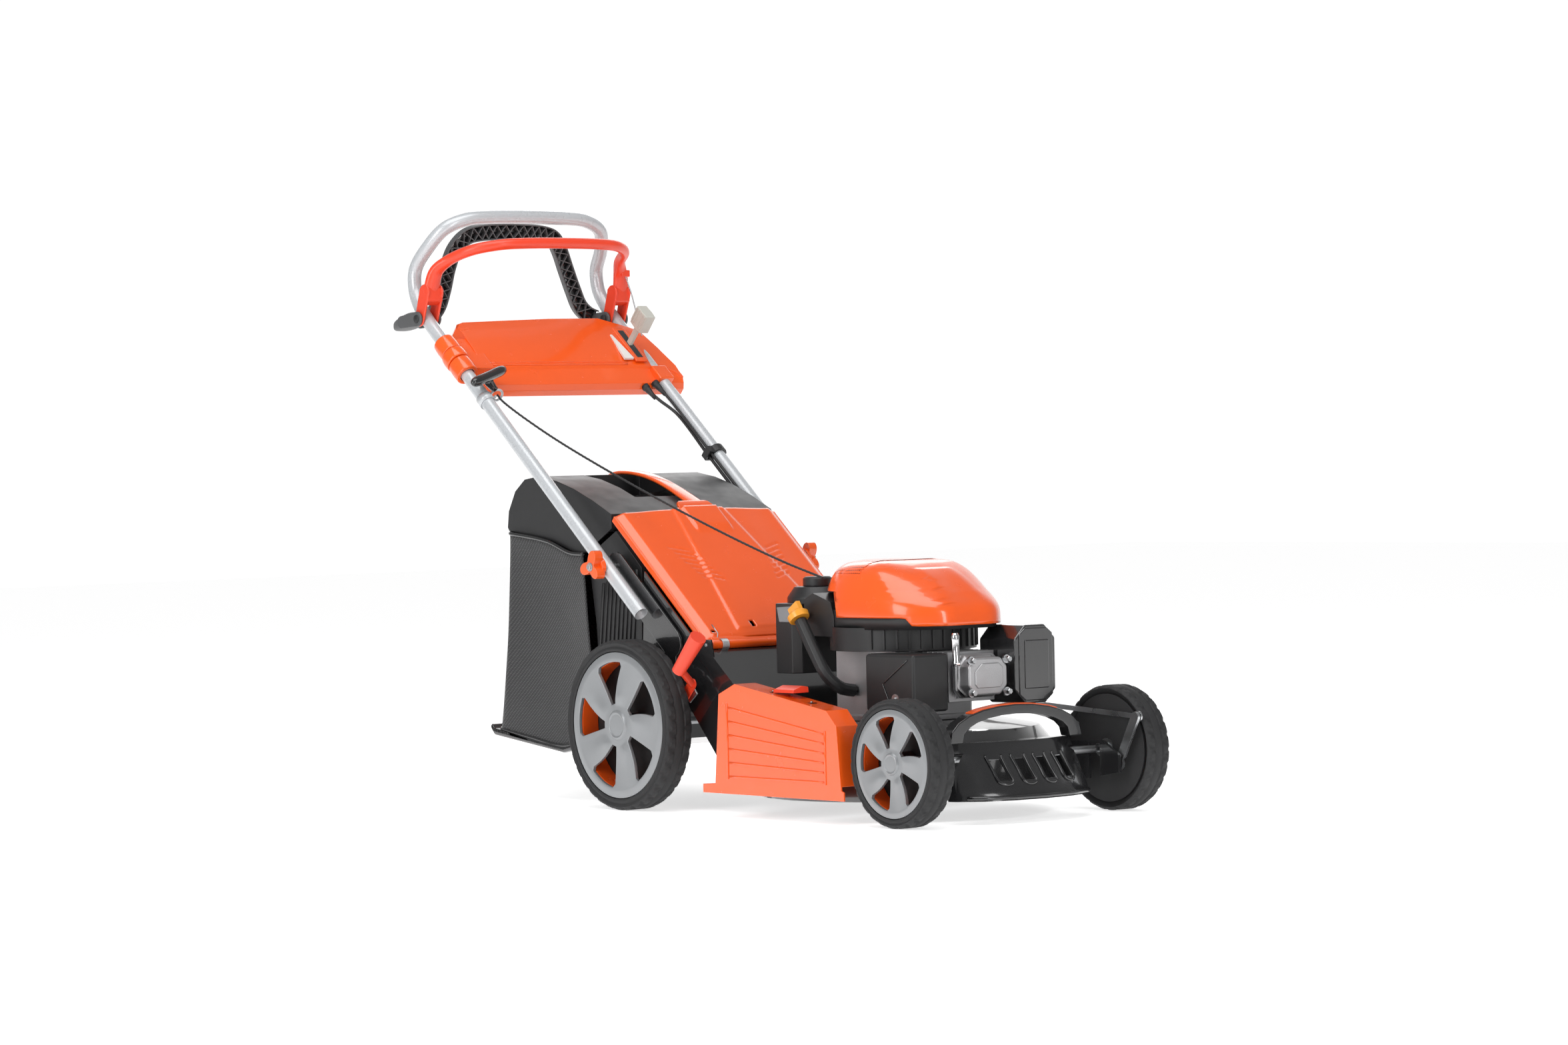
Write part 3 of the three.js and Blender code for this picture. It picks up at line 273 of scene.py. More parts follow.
ORANGE = (0.90, 0.105, 0.008)
LOOK = {
    "orange_plastic": surface("orange_plastic", ORANGE, 0.24, coat=0.6, bump=0.04, mottle=0.03),
    "red_orange_plastic": surface("red_orange_plastic", (0.80, 0.055, 0.018), 0.36, coat=0.15, bump=0.12,
                                  mottle=0.04),
    "silver_paint": surface("silver_paint", (0.52, 0.54, 0.56), 0.28, metal=0.15, coat=0.5, grain=1600,
                            mottle=0.03),
    "black_paint": surface("black_paint", (0.013, 0.013, 0.014), 0.22, coat=1.0, bump=0.05, specular=0.9,
                           rough_swing=0.07),
    "black_plastic": surface("black_plastic", (0.017, 0.017, 0.018), 0.42, grain=1300, bump=0.14,
                             mottle=0.15),
    "gloss_black": surface("gloss_black", (0.012, 0.012, 0.013), 0.2, coat=0.7, bump=0.04, mottle=0.1),
    "grey_plastic": surface("grey_plastic", (0.085, 0.087, 0.09), 0.45, grain=1200, bump=0.12, mottle=0.1),
    "pale_plastic": surface("pale_plastic", (0.52, 0.52, 0.47), 0.4, grain=1000, bump=0.08),
    "trim_silver": surface("trim_silver", (0.27, 0.28, 0.29), 0.34, metal=0.35, coat=0.25, grain=1500,
                           bump=0.06, mottle=0.05),
    "tyre_rubber": surface("tyre_rubber", (0.018, 0.018, 0.019), 0.7, grain=900, bump=0.3, mottle=0.3),
    "belt_rubber": surface("belt_rubber", (0.016, 0.016, 0.017), 0.55, grain=1500, bump=0.2, mottle=0.2),
    "cast_aluminium": surface("cast_aluminium", (0.50, 0.50, 0.51), 0.45, metal=0.9, grain=520, bump=0.5,
                              mottle=0.12, rough_swing=0.16),
    "steel": surface("steel", (0.50, 0.51, 0.52), 0.3, metal=1.0, grain=1500, bump=0.15, mottle=0.1,
                     rough_swing=0.14),
    "chrome": surface("chrome", (0.72, 0.72, 0.73), 0.12, metal=1.0, grain=600, bump=0.08, rough_swing=0.06),
    "yellow_plastic": surface("yellow_plastic", (0.86, 0.36, 0.03), 0.35, coat=0.3, bump=0.06),
    "white_mark": surface("white_mark", (0.78, 0.77, 0.75), 0.4, bump=0.03, mottle=0.03),
    "bag_cloth": woven_cloth("bag_cloth"),
    "orange_grille": painted_hole_shade_plastic("orange_grille", ORANGE),
}
SLOT_OF = {entry["node"]: entry["material_slot"] for entry in frame["record"]["subparts"]}


# ---------------------------------------------------------------- mesh helpers
def make_piece(name, verts, faces, look, body, smooth=True, stands_for=()):
    """A mesh from millimetre points; look names the material and body what it rides on."""
    mesh = bpy.data.meshes.new(name)
    mesh.from_pydata([at(*v) for v in verts], [], faces)
    return finish_piece(name, mesh, look, body, smooth, stands_for)


def finish_piece(name, mesh, look, body, smooth=True, stands_for=()):
    grid = bmesh.new()
    grid.from_mesh(mesh)
    bmesh.ops.recalc_face_normals(grid, faces=grid.faces)
    grid.to_mesh(mesh)
    grid.free()
    mesh.validate()
    piece = bpy.data.objects.new(name, mesh)
    bpy.context.scene.collection.objects.link(piece)
    mesh.materials.append(LOOK[look])
    mesh.polygons.foreach_set("use_smooth", [smooth] * len(mesh.polygons))
    if body:
        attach(piece, body)
    if stands_for:
        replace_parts(piece, *stands_for)
    return piece


def soften(piece, width, segments=2, angle=32):
    """Rounds the edges and keeps flat faces flat."""
    bevel = piece.modifiers.new("edges", "BEVEL")
    bevel.width = width * MM
    bevel.segments = segments
    bevel.limit_method = "ANGLE"
    bevel.angle_limit = math.radians(angle)
    bevel.use_clamp_overlap = True
    weigh = piece.modifiers.new("shading", "WEIGHTED_NORMAL")
    weigh.keep_sharp = False
    weigh.weight = 80
    return piece


def spline(points, count):
    """A smooth curve through the points, sampled evenly enough for a tube."""
    points = [Vector(p) for p in points]
    ends = [points[0] * 2 - points[1], *points, points[-1] * 2 - points[-2]]
    out = []
    spans = len(points) - 1
    lengths = [(points[i + 1] - points[i]).length for i in range(spans)]
    total = sum(lengths)
    for i in range(spans):
        p0, p1, p2, p3 = ends[i:i + 4]
        steps = max(2, round(count * lengths[i] / total))
        knots = [0.0]
        for a, b in ((p0, p1), (p1, p2), (p2, p3)):
            knots.append(knots[-1] + max((b - a).length, 1e-6) ** 0.5)
        for k in range(steps):
            t = knots[1] + (knots[2] - knots[1]) * k / steps
            out.append(centripetal(p0, p1, p2, p3, knots, t))
    out.append(points[-1])
    return out


def centripetal(p0, p1, p2, p3, knots, t):
    t0, t1, t2, t3 = knots
    a1 = p0 * ((t1 - t) / (t1 - t0)) + p1 * ((t - t0) / (t1 - t0))
    a2 = p1 * ((t2 - t) / (t2 - t1)) + p2 * ((t - t1) / (t2 - t1))
    a3 = p2 * ((t3 - t) / (t3 - t2)) + p3 * ((t - t2) / (t3 - t2))
    b1 = a1 * ((t2 - t) / (t2 - t0)) + a2 * ((t - t0) / (t2 - t0))
    b2 = a2 * ((t3 - t) / (t3 - t1)) + a3 * ((t - t1) / (t3 - t1))
    return b1 * ((t2 - t) / (t2 - t1)) + b2 * ((t - t1) / (t2 - t1))


def frames_along(path, wide):
    """At each point: the point, its direction, and two axes across, turned as little as possible."""
    out = []
    wide = Vector(wide).normalized()
    for i, point in enumerate(path):
        ahead = (path[min(i + 1, len(path) - 1)] - path[max(i - 1, 0)]).normalized()
        wide = (wide - ahead * wide.dot(ahead)).normalized()
        out.append((point, ahead, wide.copy(), ahead.cross(wide).normalized()))
    return out


def sweep(path, section, wide=(0, 0, 1), closed_ends=True):
    """A section [(across, over)], or a function of the share along giving one, carried along a path."""
    verts, faces = [], []
    stations = frames_along(path, wide)
    count = None
    for i, (point, _, across, over) in enumerate(stations):
        shape = section(i / (len(stations) - 1)) if callable(section) else section
        count = len(shape)
        verts += [tuple(point + across * a + over * b) for a, b in shape]
    for i in range(len(stations) - 1):
        for k in range(count):
            j = (k + 1) % count
            faces.append((i * count + k, i * count + j, (i + 1) * count + j, (i + 1) * count + k))
    if closed_ends:
        faces.append(tuple(range(count))[::-1])
        faces.append(tuple((len(stations) - 1) * count + k for k in range(count)))
    return verts, faces


def ring(radius, sides=20, radius_over=None):
    over = radius if radius_over is None else radius_over
    turns = [math.tau * i / sides for i in range(sides)]
    return [(radius * math.cos(turn), over * math.sin(turn)) for turn in turns]


def merge(*shapes):
    """Joins several (verts, faces) lists into one."""
    verts, faces = [], []
    for some_verts, some_faces in shapes:
        offset = len(verts)
        verts += some_verts
        faces += [tuple(i + offset for i in face) for face in some_faces]
    return verts, faces


def lathe(profile, origin, axis, sides=48):
    """Turns [(radius, distance)] round an axis; a profile that starts and ends at radius 0 closes itself."""
    axis = Vector(axis).normalized()
    side = axis.orthogonal().normalized()
    other = axis.cross(side)
    origin = Vector(origin)
    verts, faces = [], []
    for i in range(sides):
        a = math.tau * i / sides
        out = side * math.cos(a) + other * math.sin(a)
        verts += [tuple(origin + axis * d + out * r) for r, d in profile]
    count = len(profile)
    for i in range(sides):
        j = (i + 1) % sides
        for k in range(count - 1):
            faces.append((i * count + k, j * count + k, j * count + k + 1, i * count + k + 1))
    return weld(verts, faces)


def weld(verts, faces, distance=1e-3):
    """Merges points that coincide and drops faces that vanish."""
    key_of, kept, index = {}, [], []
    for v in verts:
        key = tuple(round(c / distance / 5) for c in v)
        if key not in key_of:
            key_of[key] = len(kept)
            kept.append(v)
        index.append(key_of[key])
    cleaned = []
    for face in faces:
        loop = []
        for i in face:
            if index[i] not in loop:
                loop.append(index[i])
        if len(loop) > 2:
            cleaned.append(tuple(loop))
    return kept, cleaned


def prism(outline, axis, low, high):
    """An outline in the two other axes (in order), pushed along 'x', 'y' or 'z'."""
    def put(a, b, c):
        return {"x": (c, a, b), "y": (a, c, b), "z": (a, b, c)}[axis]
    count = len(outline)
    verts = [put(a, b, low) for a, b in outline] + [put(a, b, high) for a, b in outline]
    faces = [tuple(range(count))[::-1], tuple(range(count, 2 * count))]
    faces += [(k, (k + 1) % count, count + (k + 1) % count, count + k) for k in range(count)]
    return verts, faces


def block(x0, x1, y0, y1, z0, z1):
    return prism([(x0, y0), (x1, y0), (x1, y1), (x0, y1)], "z", z0, z1)


def loft(rings):
    """Skins rings of equal point counts and caps both ends."""
    count = len(rings[0])
    verts = [p for one in rings for p in one]
    faces = []
    for i in range(len(rings) - 1):
        for k in range(count):
            j = (k + 1) % count
            faces.append((i * count + k, i * count + j, (i + 1) * count + j, (i + 1) * count + k))
    faces.append(tuple(range(count))[::-1])
    faces.append(tuple((len(rings) - 1) * count + k for k in range(count)))
    return verts, faces


def turn_into(shape, place):
    """Moves a shape's points through a function."""
    verts, faces = shape
    return [tuple(place(*v)) for v in verts], faces


def bolt(place, axis, radius, height=4):
    """A hexagon-headed flanged screw standing on a face."""
    rim = radius * 1.35
    flange = lathe([(0, 0), (rim, 0), (rim, height * 0.3), (0, height * 0.3)], place, axis, 24)
    head = lathe([(0, height * 0.3), (radius, height * 0.3), (radius, height * 0.9), (radius * 0.85, height),
                  (0, height)], place, axis, 6)
    return merge(flange, head)


ROUNDING = {"bag_lid": 6, "bag_tray": 4, "nose_bumper": 3, "muffler": 3, "valve_cover": 5, "air_filter": 5,
            "fuel_tank": 4, "side_cover": 3, "carry_arch": 2}
FINISH = {"nose_bumper": "gloss_black", "carry_arch": "gloss_black", "bag_tray": "gloss_black"}


def polish(node, width=1.0, angle=32):
    """Gives a CAD node its finish, round edges and smooth curved faces."""
    piece = NODES[node]
    mesh = piece.data
    mesh.materials.clear()
    mesh.materials.append(LOOK[FINISH.get(node, SLOT_OF[node])])
    for name in ("custom_normal", "sharp_edge"):
        if name in mesh.attributes:
            mesh.attributes.remove(mesh.attributes[name])
    mesh.polygons.foreach_set("use_smooth", [True] * len(mesh.polygons))
    piece.modifiers.new("weld", "WELD").merge_threshold = 0.00001
    flat = piece.modifiers.new("flat", "DECIMATE")
    flat.decimate_type = "DISSOLVE"
    flat.angle_limit = math.radians(1.5)
    soften(piece, width, 2, angle)


# ---------------------------------------------------------------- wheels
def wheel_sizes(place):
    low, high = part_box("tyre_" + place)
    side = 1 if middle("tyre_" + place).x > 0 else -1
    inner = min(abs(low.x), abs(high.x)) / MM
    radius = (high.z - low.z) / 2 / MM
    trim_low, trim_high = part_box("wheel_trim_" + place)
    trim = (trim_high.z - trim_low.z) / 2 / MM
    return side, inner, (high.x - low.x) / MM, radius, trim, middle("tyre_" + place).y / MM - AXLE_Y


def tyre_shape(width, radius, barrel):
    """Moulded tyre: block shoulders with curved grooves, a raised centre rib and a stepped sidewall."""
    lugs = 34 if radius > 120 else 26
    per_lug = 8
    depth = 2.4
    across = [0.0, 0.04, 0.14, 0.30, 0.34, 0.42, 0.58, 0.66, 0.70, 0.86, 0.96, 1.0]
    verts, faces = [], []
    steps = lugs * per_lug
    for i in range(steps):
        a = math.tau * i / steps
        column = [(barrel, 0.16), (radius * 0.92, 0.06)]
        for share in across:
            edge = min(share, 1 - share)
            crown = radius - 5.5 * max(0, (0.10 - edge) / 0.10) ** 2 - 0.2
            curve = 2.2 * (0.30 - edge) / 0.30
            lug_phase = (i / per_lug + (0.5 if share > 0.5 else 0) + curve * 0.28) % 1
            if 0.03 < edge < 0.33:
                crown -= depth * (1 if lug_phase < 0.22 else 0)
            elif 0.33 <= edge < 0.40:
                crown -= depth * 0.9
            column.append((crown, share))
        column += [(radius * 0.92, 0.95), (barrel + 4, 1.0), (barrel, 0.985)]
        verts += [(r * math.cos(a), r * math.sin(a), share * width) for r, share in column]
    count = len(column)
    for i in range(steps):
        j = (i + 1) % steps
        for k in range(count):
            n = (k + 1) % count
            faces.append((i * count + k, j * count + k, j * count + n, i * count + n))
    web = lathe([(7, 2), (barrel + 1, 2), (barrel + 1, 7), (radius * 0.5, 9), (18, 7), (18, width - 15),
                 (7, width - 15), (7, 2)], (0, 0, 0), (0, 0, 1), 56)
    return merge((verts, faces), web)


def trim_shape(radius):
    """Five near-radial spokes that broaden into the rim, round a hub cap."""
    windows, window_columns, spoke_columns = 5, 8, 8
    near, far = 0.30, 0.865
    radii = [0.165, 0.20, 0.25, near, 0.36, 0.44, 0.54, 0.64, 0.74, 0.81, far, 0.885, 0.93, 0.975, 1.0]
    sector = math.tau / windows
    columns = windows * (window_columns + spoke_columns)
    verts, faces = [], []
    for share in radii:
        t = max(0, min(1, (share - near) / (far - near)))
        window = math.radians(17 + 23 * t ** 0.8 - 7 * max(0, t - 0.9) / 0.1)
        twist = 0.13 * t - window / 2
        for w in range(windows):
            for c in range(window_columns + spoke_columns):
                if c < window_columns:
                    angle = window * c / window_columns
                    lift = 0
                else:
                    u = (c - window_columns) / spoke_columns
                    angle = window + (sector - window) * u
                    lift = 3.2 * (1 - abs(2 * u - 0.65)) * (1 - t) if t > 0 else 0
                angle += w * sector + twist
                rim = 2.0 if share > 0.93 else 0
                dish = 3.5 * math.sin(math.pi * min(1, share / 0.93)) + rim
                verts.append((share * radius * math.cos(angle), share * radius * math.sin(angle),
                              6 - dish * 0.6 + max(0, lift) * 0.8))
    for i in range(len(radii) - 1):
        inside = near <= radii[i] and radii[i + 1] <= far
        for k in range(columns):
            if inside and k % (window_columns + spoke_columns) < window_columns:
                continue
            j = (k + 1) % columns
            faces.append((i * columns + k, i * columns + j, (i + 1) * columns + j, (i + 1) * columns + k))
    return verts, faces


def add_wheel(place):
    side, inner, width, radius, trim, y = wheel_sizes(place)
    body = "wheel_" + place

    def put(a, b, c):
        return (side * (inner + c), y + a, radius + b)

    barrel = trim + 1
    verts, faces = turn_into(tyre_shape(width, radius, barrel), put)
    tyre = make_piece("moulded_tyre_" + place, verts, faces, "tyre_rubber", body, True, ["tyre_" + place])
    soften(tyre, 0.5, 1, 40)
    # Bright liner seen through the windows, deepest at the back.
    lip = width - 8
    liner = lathe([(trim * 0.875, 9), (trim * 0.99, 9), (trim * 0.99, lip), (trim * 0.868, lip),
                   (trim * 0.875, 9)], (0, 0, 0), (0, 0, 1), 72)
    verts, faces = turn_into(liner, put)
    soften(make_piece("orange_liner_" + place, verts, faces, "orange_plastic", body, True,
                      ["accent_ring_" + place]), 0.5, 2, 50)
    front = width - 6
    verts, faces = turn_into(trim_shape(trim), lambda a, b, c: put(a, b, c + front))
    spokes = make_piece("twisted_spokes_" + place, verts, faces, "trim_silver", body, True,
                        ["wheel_trim_" + place])
    thick = spokes.modifiers.new("thickness", "SOLIDIFY")
    thick.thickness = 7 * MM
    thick.offset = -1
    thick.use_even_offset = False
    soften(spokes, 1.6, 3, 38)
    cap = merge(
        lathe([(0, -8), (trim * 0.215, -8), (trim * 0.215, 5), (trim * 0.185, 8.6), (trim * 0.165, 9.2),
               (trim * 0.155, 7.6), (0, 8.4)], (0, 0, front - 1), (0, 0, 1), 48))
    verts, faces = turn_into(cap, put)
    soften(make_piece("hub_cap_" + place, verts, faces, "trim_silver", body), 1.0, 2, 30)
    back = merge(bolt((0, 0, 1.8), (0, 0, -1), 8, 6), lathe([(0, 1.5), (15, 1.5), (15, -0.8), (0, -0.8)],
                                                           (0, 0, 1), (0, 0, 1), 32))
    verts, faces = turn_into(back, put)
    make_piece("axle_nut_" + place, verts, faces, "steel", body, False)


# ---------------------------------------------------------------- handle
GRIP_HALF = [
    on_tube(TUBE_X, -660.4, 0), on_tube(TUBE_X, -440, 0), on_tube(TUBE_X, -220, 0), on_tube(TUBE_X, -90, 0),
    on_tube(TUBE_X, -14, 0), (203, 1292, 846), (200, 1312, 878), (197, 1314, 914), (189, 1288, 950),
    (169, 1263, 983), (130, 1251, 999), (88, 1247, 1003),
]


def both_sides(half):
    """The whole symmetric curve from its -X foot to its +X foot."""
    return [(-x, y, z) for x, y, z in half] + [tuple(p) for p in reversed(half)]


def add_handlebar():
    foot = on_tube(TUBE_X, -781, 0)
    path = spline(both_sides([foot, *GRIP_HALF]), 260)
    outer, bore = 12, 10.2
    tube = sweep(path, ring(outer, 28), (1, 0, 0), closed_ends=False)
    plugs = []
    for side in (-1, 1):
        start = Vector((side * foot[0], foot[1], foot[2]))
        along = Vector((0, COS, SIN))
        plugs.append(lathe([(outer, 0), (bore, -0.2), (bore, 46), (0, 46)], start, along, 28))
    verts, faces = merge(tube, *plugs)
    make_piece("bent_tube", verts, faces, "silver_paint", "handle", True, ["handlebar"])
    for side in (-1, 1):
        pivot = (side * 178, GRIP_PIVOT.y, GRIP_PIVOT.z)
        pin = lathe([(0, 0), (7, 0), (7.5, 1.5), (5, 3.4), (5, 46), (7.5, 47), (7, 49.5), (0, 50)], pivot,
                    (side, 0, 0), 24)
        make_piece(f"bail_pivot_pin_{'left' if side > 0 else 'right'}", *pin, "belt_rubber", "handle")


BRAKE_HALF = [
    (204, 1258, 860), (205, 1253, 884), (200, 1247, 908), (187, 1231, 925), (168, 1192, 941),
    (130, 1160, 950), (80, 1148, 953),
]


def pivot_plate(x0, x1, tip, radius, pivot_radius=13):
    """A rounded plate from the bails' pivot to a point on the bail."""
    start = Vector((GRIP_PIVOT.y, GRIP_PIVOT.z))
    end = Vector(tip)
    angle = math.atan2(end.y - start.y, end.x - start.x)
    outline = []
    for centre, size, turn in ((start, pivot_radius, math.pi / 2), (end, radius, -math.pi / 2)):
        for i in range(11):
            a = angle + turn + math.pi * i / 10
            outline.append((centre.x + size * math.cos(a), centre.y + size * math.sin(a)))
    return prism(outline, "x", x0, x1)


def add_brake_bail():
    def section(share):
        foot = max(0, 1 - min(share, 1 - share) / 0.17)
        ease = foot * foot * (3 - 2 * foot)
        return ring(9.6 + 7.0 * ease, 24, 9.6 - 0.6 * ease)
    path = spline(both_sides(BRAKE_HALF), 150)
    verts, faces = sweep(path, section, (1, 0, 0))
    make_piece("stop_bail_grip", verts, faces, "red_orange_plastic", "brake_bail", True, ["brake_bail"])
    for side in (-1, 1):
        word = "left" if side > 0 else "right"
        plates = []
        for near, far in ((187.3, 191.6), (216.4, 220.8)):
            x0, x1 = sorted((side * near, side * far))
            plates.append(pivot_plate(x0, x1, (1257, 872), 14))
        x0, x1 = sorted((side * 187.6, side * 220.4))
        plates.append(prism([(1246, 856), (1262, 849), (1271, 856), (1271, 880), (1246, 880)], "x", x0, x1))
        fork = make_piece("stop_bail_fork_" + word, *merge(*plates), "red_orange_plastic", "brake_bail", True)
        soften(fork, 2.2, 3)
    nipple = merge(lathe([(0, 0), (7, 0), (7, 16), (0, 16)], (197, 1244, 906), (1, 0, 0), 20),
                   block(196, 214, 1236, 1250, 900, 912))
    soften(make_piece("cable_nipple", *nipple, "red_orange_plastic", "brake_bail"), 1.2)
    wire = sweep(spline([(205, 1240, 905), (205, 1222, 870), (203, 1203, 826), (200, 1187, 793)], 30),
                 ring(1.1, 8), (1, 0, 0))
    strand = make_piece("inner_wire", *wire, "steel", None, True)
    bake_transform(strand)


DRIVE_HALF = [
    (184, 1303, 829), (168, 1306, 836), (154, 1309, 850), (141, 1311, 880), (128, 1314, 918),
    (114, 1312, 950), (95, 1305, 971), (66, 1301, 979),
]


def add_drive_bail():
    path = spline(both_sides(DRIVE_HALF), 130)
    half, rim, deep, skin = 14.5, 2.6, 5.5, 1.6
    channel = [
        (-half, -deep), (-half, deep), (half, deep), (half, -deep), (half - rim, -deep),
        (half - rim, deep - skin), (-half + rim, deep - skin), (-half + rim, -deep),
    ]
    # The wide way of the band follows its own plane; the open side faces forwards.
    stations = []
    for point, ahead, _, _ in frames_along(path, (1, 0, 0)):
        over = (Vector((0, 1, 0.25)) - ahead * Vector((0, 1, 0.25)).dot(ahead)).normalized()
        stations.append((point, over.cross(ahead).normalized(), over))

    def placed(shape, index):
        point, across, over = stations[index]
        return [tuple(point + across * a + over * b) for a, b in shape]

    band = loft([placed(channel, i) for i in range(len(stations))])
    strap = make_piece("drive_bail_band", *band, "grey_plastic", "drive_bail", True, ["drive_bail"])
    soften(strap, 0.7, 2, 50)
    ribs = []
    pitch = 4
    wall = 0.8
    for i in range(2, len(stations) - pitch - 2, pitch):
        for flip in (-1, 1):
            a, b = stations[i], stations[i + pitch]
            start = a[0] + a[1] * flip * (half - rim)
            end = b[0] - b[1] * flip * (half - rim)
            along = (end - start).normalized()
            normal = a[2]
            thick = along.cross(normal).normalized() * wall
            corners = []
            for spot in (start, end):
                for depth in (-deep + 1.2, deep - skin):
                    corners += [tuple(spot + thick + normal * depth), tuple(spot - thick + normal * depth)]
            order = [(0, 1, 3, 2), (4, 6, 7, 5), (0, 4, 5, 1), (2, 3, 7, 6), (0, 2, 6, 4), (1, 5, 7, 3)]
            ribs.append((corners, order))
    make_piece("drive_bail_lattice", *merge(*ribs), "grey_plastic", "drive_bail", False)
    floor = [(-half + rim, deep - skin - 0.3), (half - rim, deep - skin - 0.3), (half - rim, deep - skin),
             (-half + rim, deep - skin)]
    lining = loft([placed(floor, i) for i in range(1, len(stations) - 1)])
    make_piece("drive_bail_lining", *lining, "gloss_black", "drive_bail", True)
    for side in (-1, 1):
        word = "left" if side > 0 else "right"
        rings = []
        for y, z, half_x, half_z in ((1288, 829, 20, 7), (1300, 829, 22, 12), (1318, 824, 22, 13),
                                     (1340, 819, 20, 12), (1356, 816, 15, 9), (1363, 815, 8, 5)):
            rings.append([(side * 204 + half_x * power(math.cos(a)), y, z + half_z * power(math.sin(a)))
                          for a in [math.tau * k / 24 for k in range(24)]])
        paddle = make_piece("drive_paddle_" + word, *loft(rings), "grey_plastic", "drive_bail", True)
        smooth = paddle.modifiers.new("smooth", "SUBSURF")
        smooth.levels = smooth.render_levels = 1
        plates = []
        for near, far in ((181.8, 186.4), (221.6, 226)):
            x0, x1 = sorted((side * near, side * far))
            plates.append(pivot_plate(x0, x1, (1322, 822), 11))
        soften(make_piece("drive_ears_" + word, *merge(*plates), "grey_plastic", "drive_bail"), 1.5)


def power(value, exponent=0.6):
    """Squares off a circle's coordinate for a rounded-box section."""
    return math.copysign(abs(value) ** exponent, value)


def add_console():
    low = -189
    stations = [(-168, -38), (-160, -27), (-150, -23), (-60, -18), (40, -13), (150, -12), (178, -24),
                (205, -33), (226, -42), (240, -88), (250, -138)]
    rings = []
    for x, high in stations:
        span = high - low
        crown = 15 - 6 * max(0, (x - 170) / 80)
        profile = [
            (low, -21), (low - 0.5, -8), (low + 6, 1), (low + 0.24 * span, 5.5), (low + 0.27 * span, 9),
            (low + 0.55 * span, crown - 0.5), (low + 0.85 * span, crown + 1), (high - 5, crown),
            (high, crown - 6), (high, -21),
        ]
        rings.append([on_tube(x, s, n) for s, n in profile])
    shell = make_piece("console_shell", *loft(rings), "orange_plastic", "handle", True, ["console"])
    soften(shell, 2.2, 3, 24)
    # Raised surround, dark slot and pale range mark for the speed lever.
    surround = prism([(164, -138), (190, -138), (190, -46), (164, -46)], "z", 12, 16.6)
    soften(make_piece("lever_surround", *turn_into(surround, on_tube), "orange_plastic", "handle"), 1.6)
    slot = prism([(171, -130), (184, -130), (184, -54), (171, -54)], "z", 12, 17.0)
    soften(make_piece("lever_slot", *turn_into(slot, on_tube), "gloss_black", "handle"), 0.6)
    wedge = prism([(148, -66), (152, -66), (162, -132), (142, -132)], "z", 13, 16.9)
    make_piece("range_wedge", *turn_into(wedge, on_tube), "white_mark", "handle", False)
    # Long crease and moulded ribs along the top face.
    for s, x0, x1 in ((-134, -150, 150), (-140, -146, 146)):
        route = line(on_tube(x0, s, 9.6), on_tube(x1, s, 9.6), 24)
        rib = sweep(route, ring(1.5, 10), (0, 0, 1))
        make_piece(f"console_rib_{abs(s)}", *rib, "orange_plastic", "handle")
    clamps = []
    for s0, s1, radius in ((-156, -124, 20), (-122, -100, 21.5), (-98, -66, 19.5)):
        a = Vector(on_tube(-TUBE_X, s0, 0))
        b = Vector(on_tube(-TUBE_X, s1, 0))
        along = (b - a).normalized()
        length = (b - a).length
        clamps.append(lathe([(13, 0), (radius, 0), (radius + 0.8, length / 2), (radius, length), (13, length),
                             (13, 0)], a, along, 32))
    clamps.append(turn_into(block(-192, -150, -152, -70, -14, 13), on_tube))
    soften(make_piece("near_clamp", *merge(*clamps), "orange_plastic", "handle"), 2.0, 3, 40)
    far = turn_into(block(190, 222, -186, -150, -20, 15), on_tube)
    soften(make_piece("far_clamp", *far, "orange_plastic", "handle"), 3, 3)
    for name, x, n in (("brake", 163, -4), ("drive", 181, 4)):
        a, b = Vector(on_tube(x, -186, n)), Vector(on_tube(x + 4, -214, n - 1))
        profile = [(0, 0), (7, 0), (7, 6), (5.4, 8), (5.8, 12), (4.2, 22), (3.4, 33), (0, 33)]
        boot = lathe(profile, a, b - a, 20)
        make_piece(name + "_cable_boot", *boot, "belt_rubber", "handle")


def add_speed_lever():
    stem = turn_into(prism([(-96, -10), (-84, -10), (-88, 60), (-98, 60)], "x", 173, 180), on_tube)
    head = [(166.5, -112), (186.5, -112), (188, -98), (186.5, -78), (166.5, -78), (165, -98)]
    knob = turn_into(prism(head, "z", 56, 92), on_tube)
    ribs = []
    for i in range(5):
        s = -110 + 7 * i
        ribs.append(turn_into(block(164.3, 188.7, s, s + 3, 62, 90), on_tube))
    soften(make_piece("range_lever", *merge(stem, knob, *ribs), "pale_plastic", "speed_lever", True,
                      ["speed_lever"]), 1.4, 2)


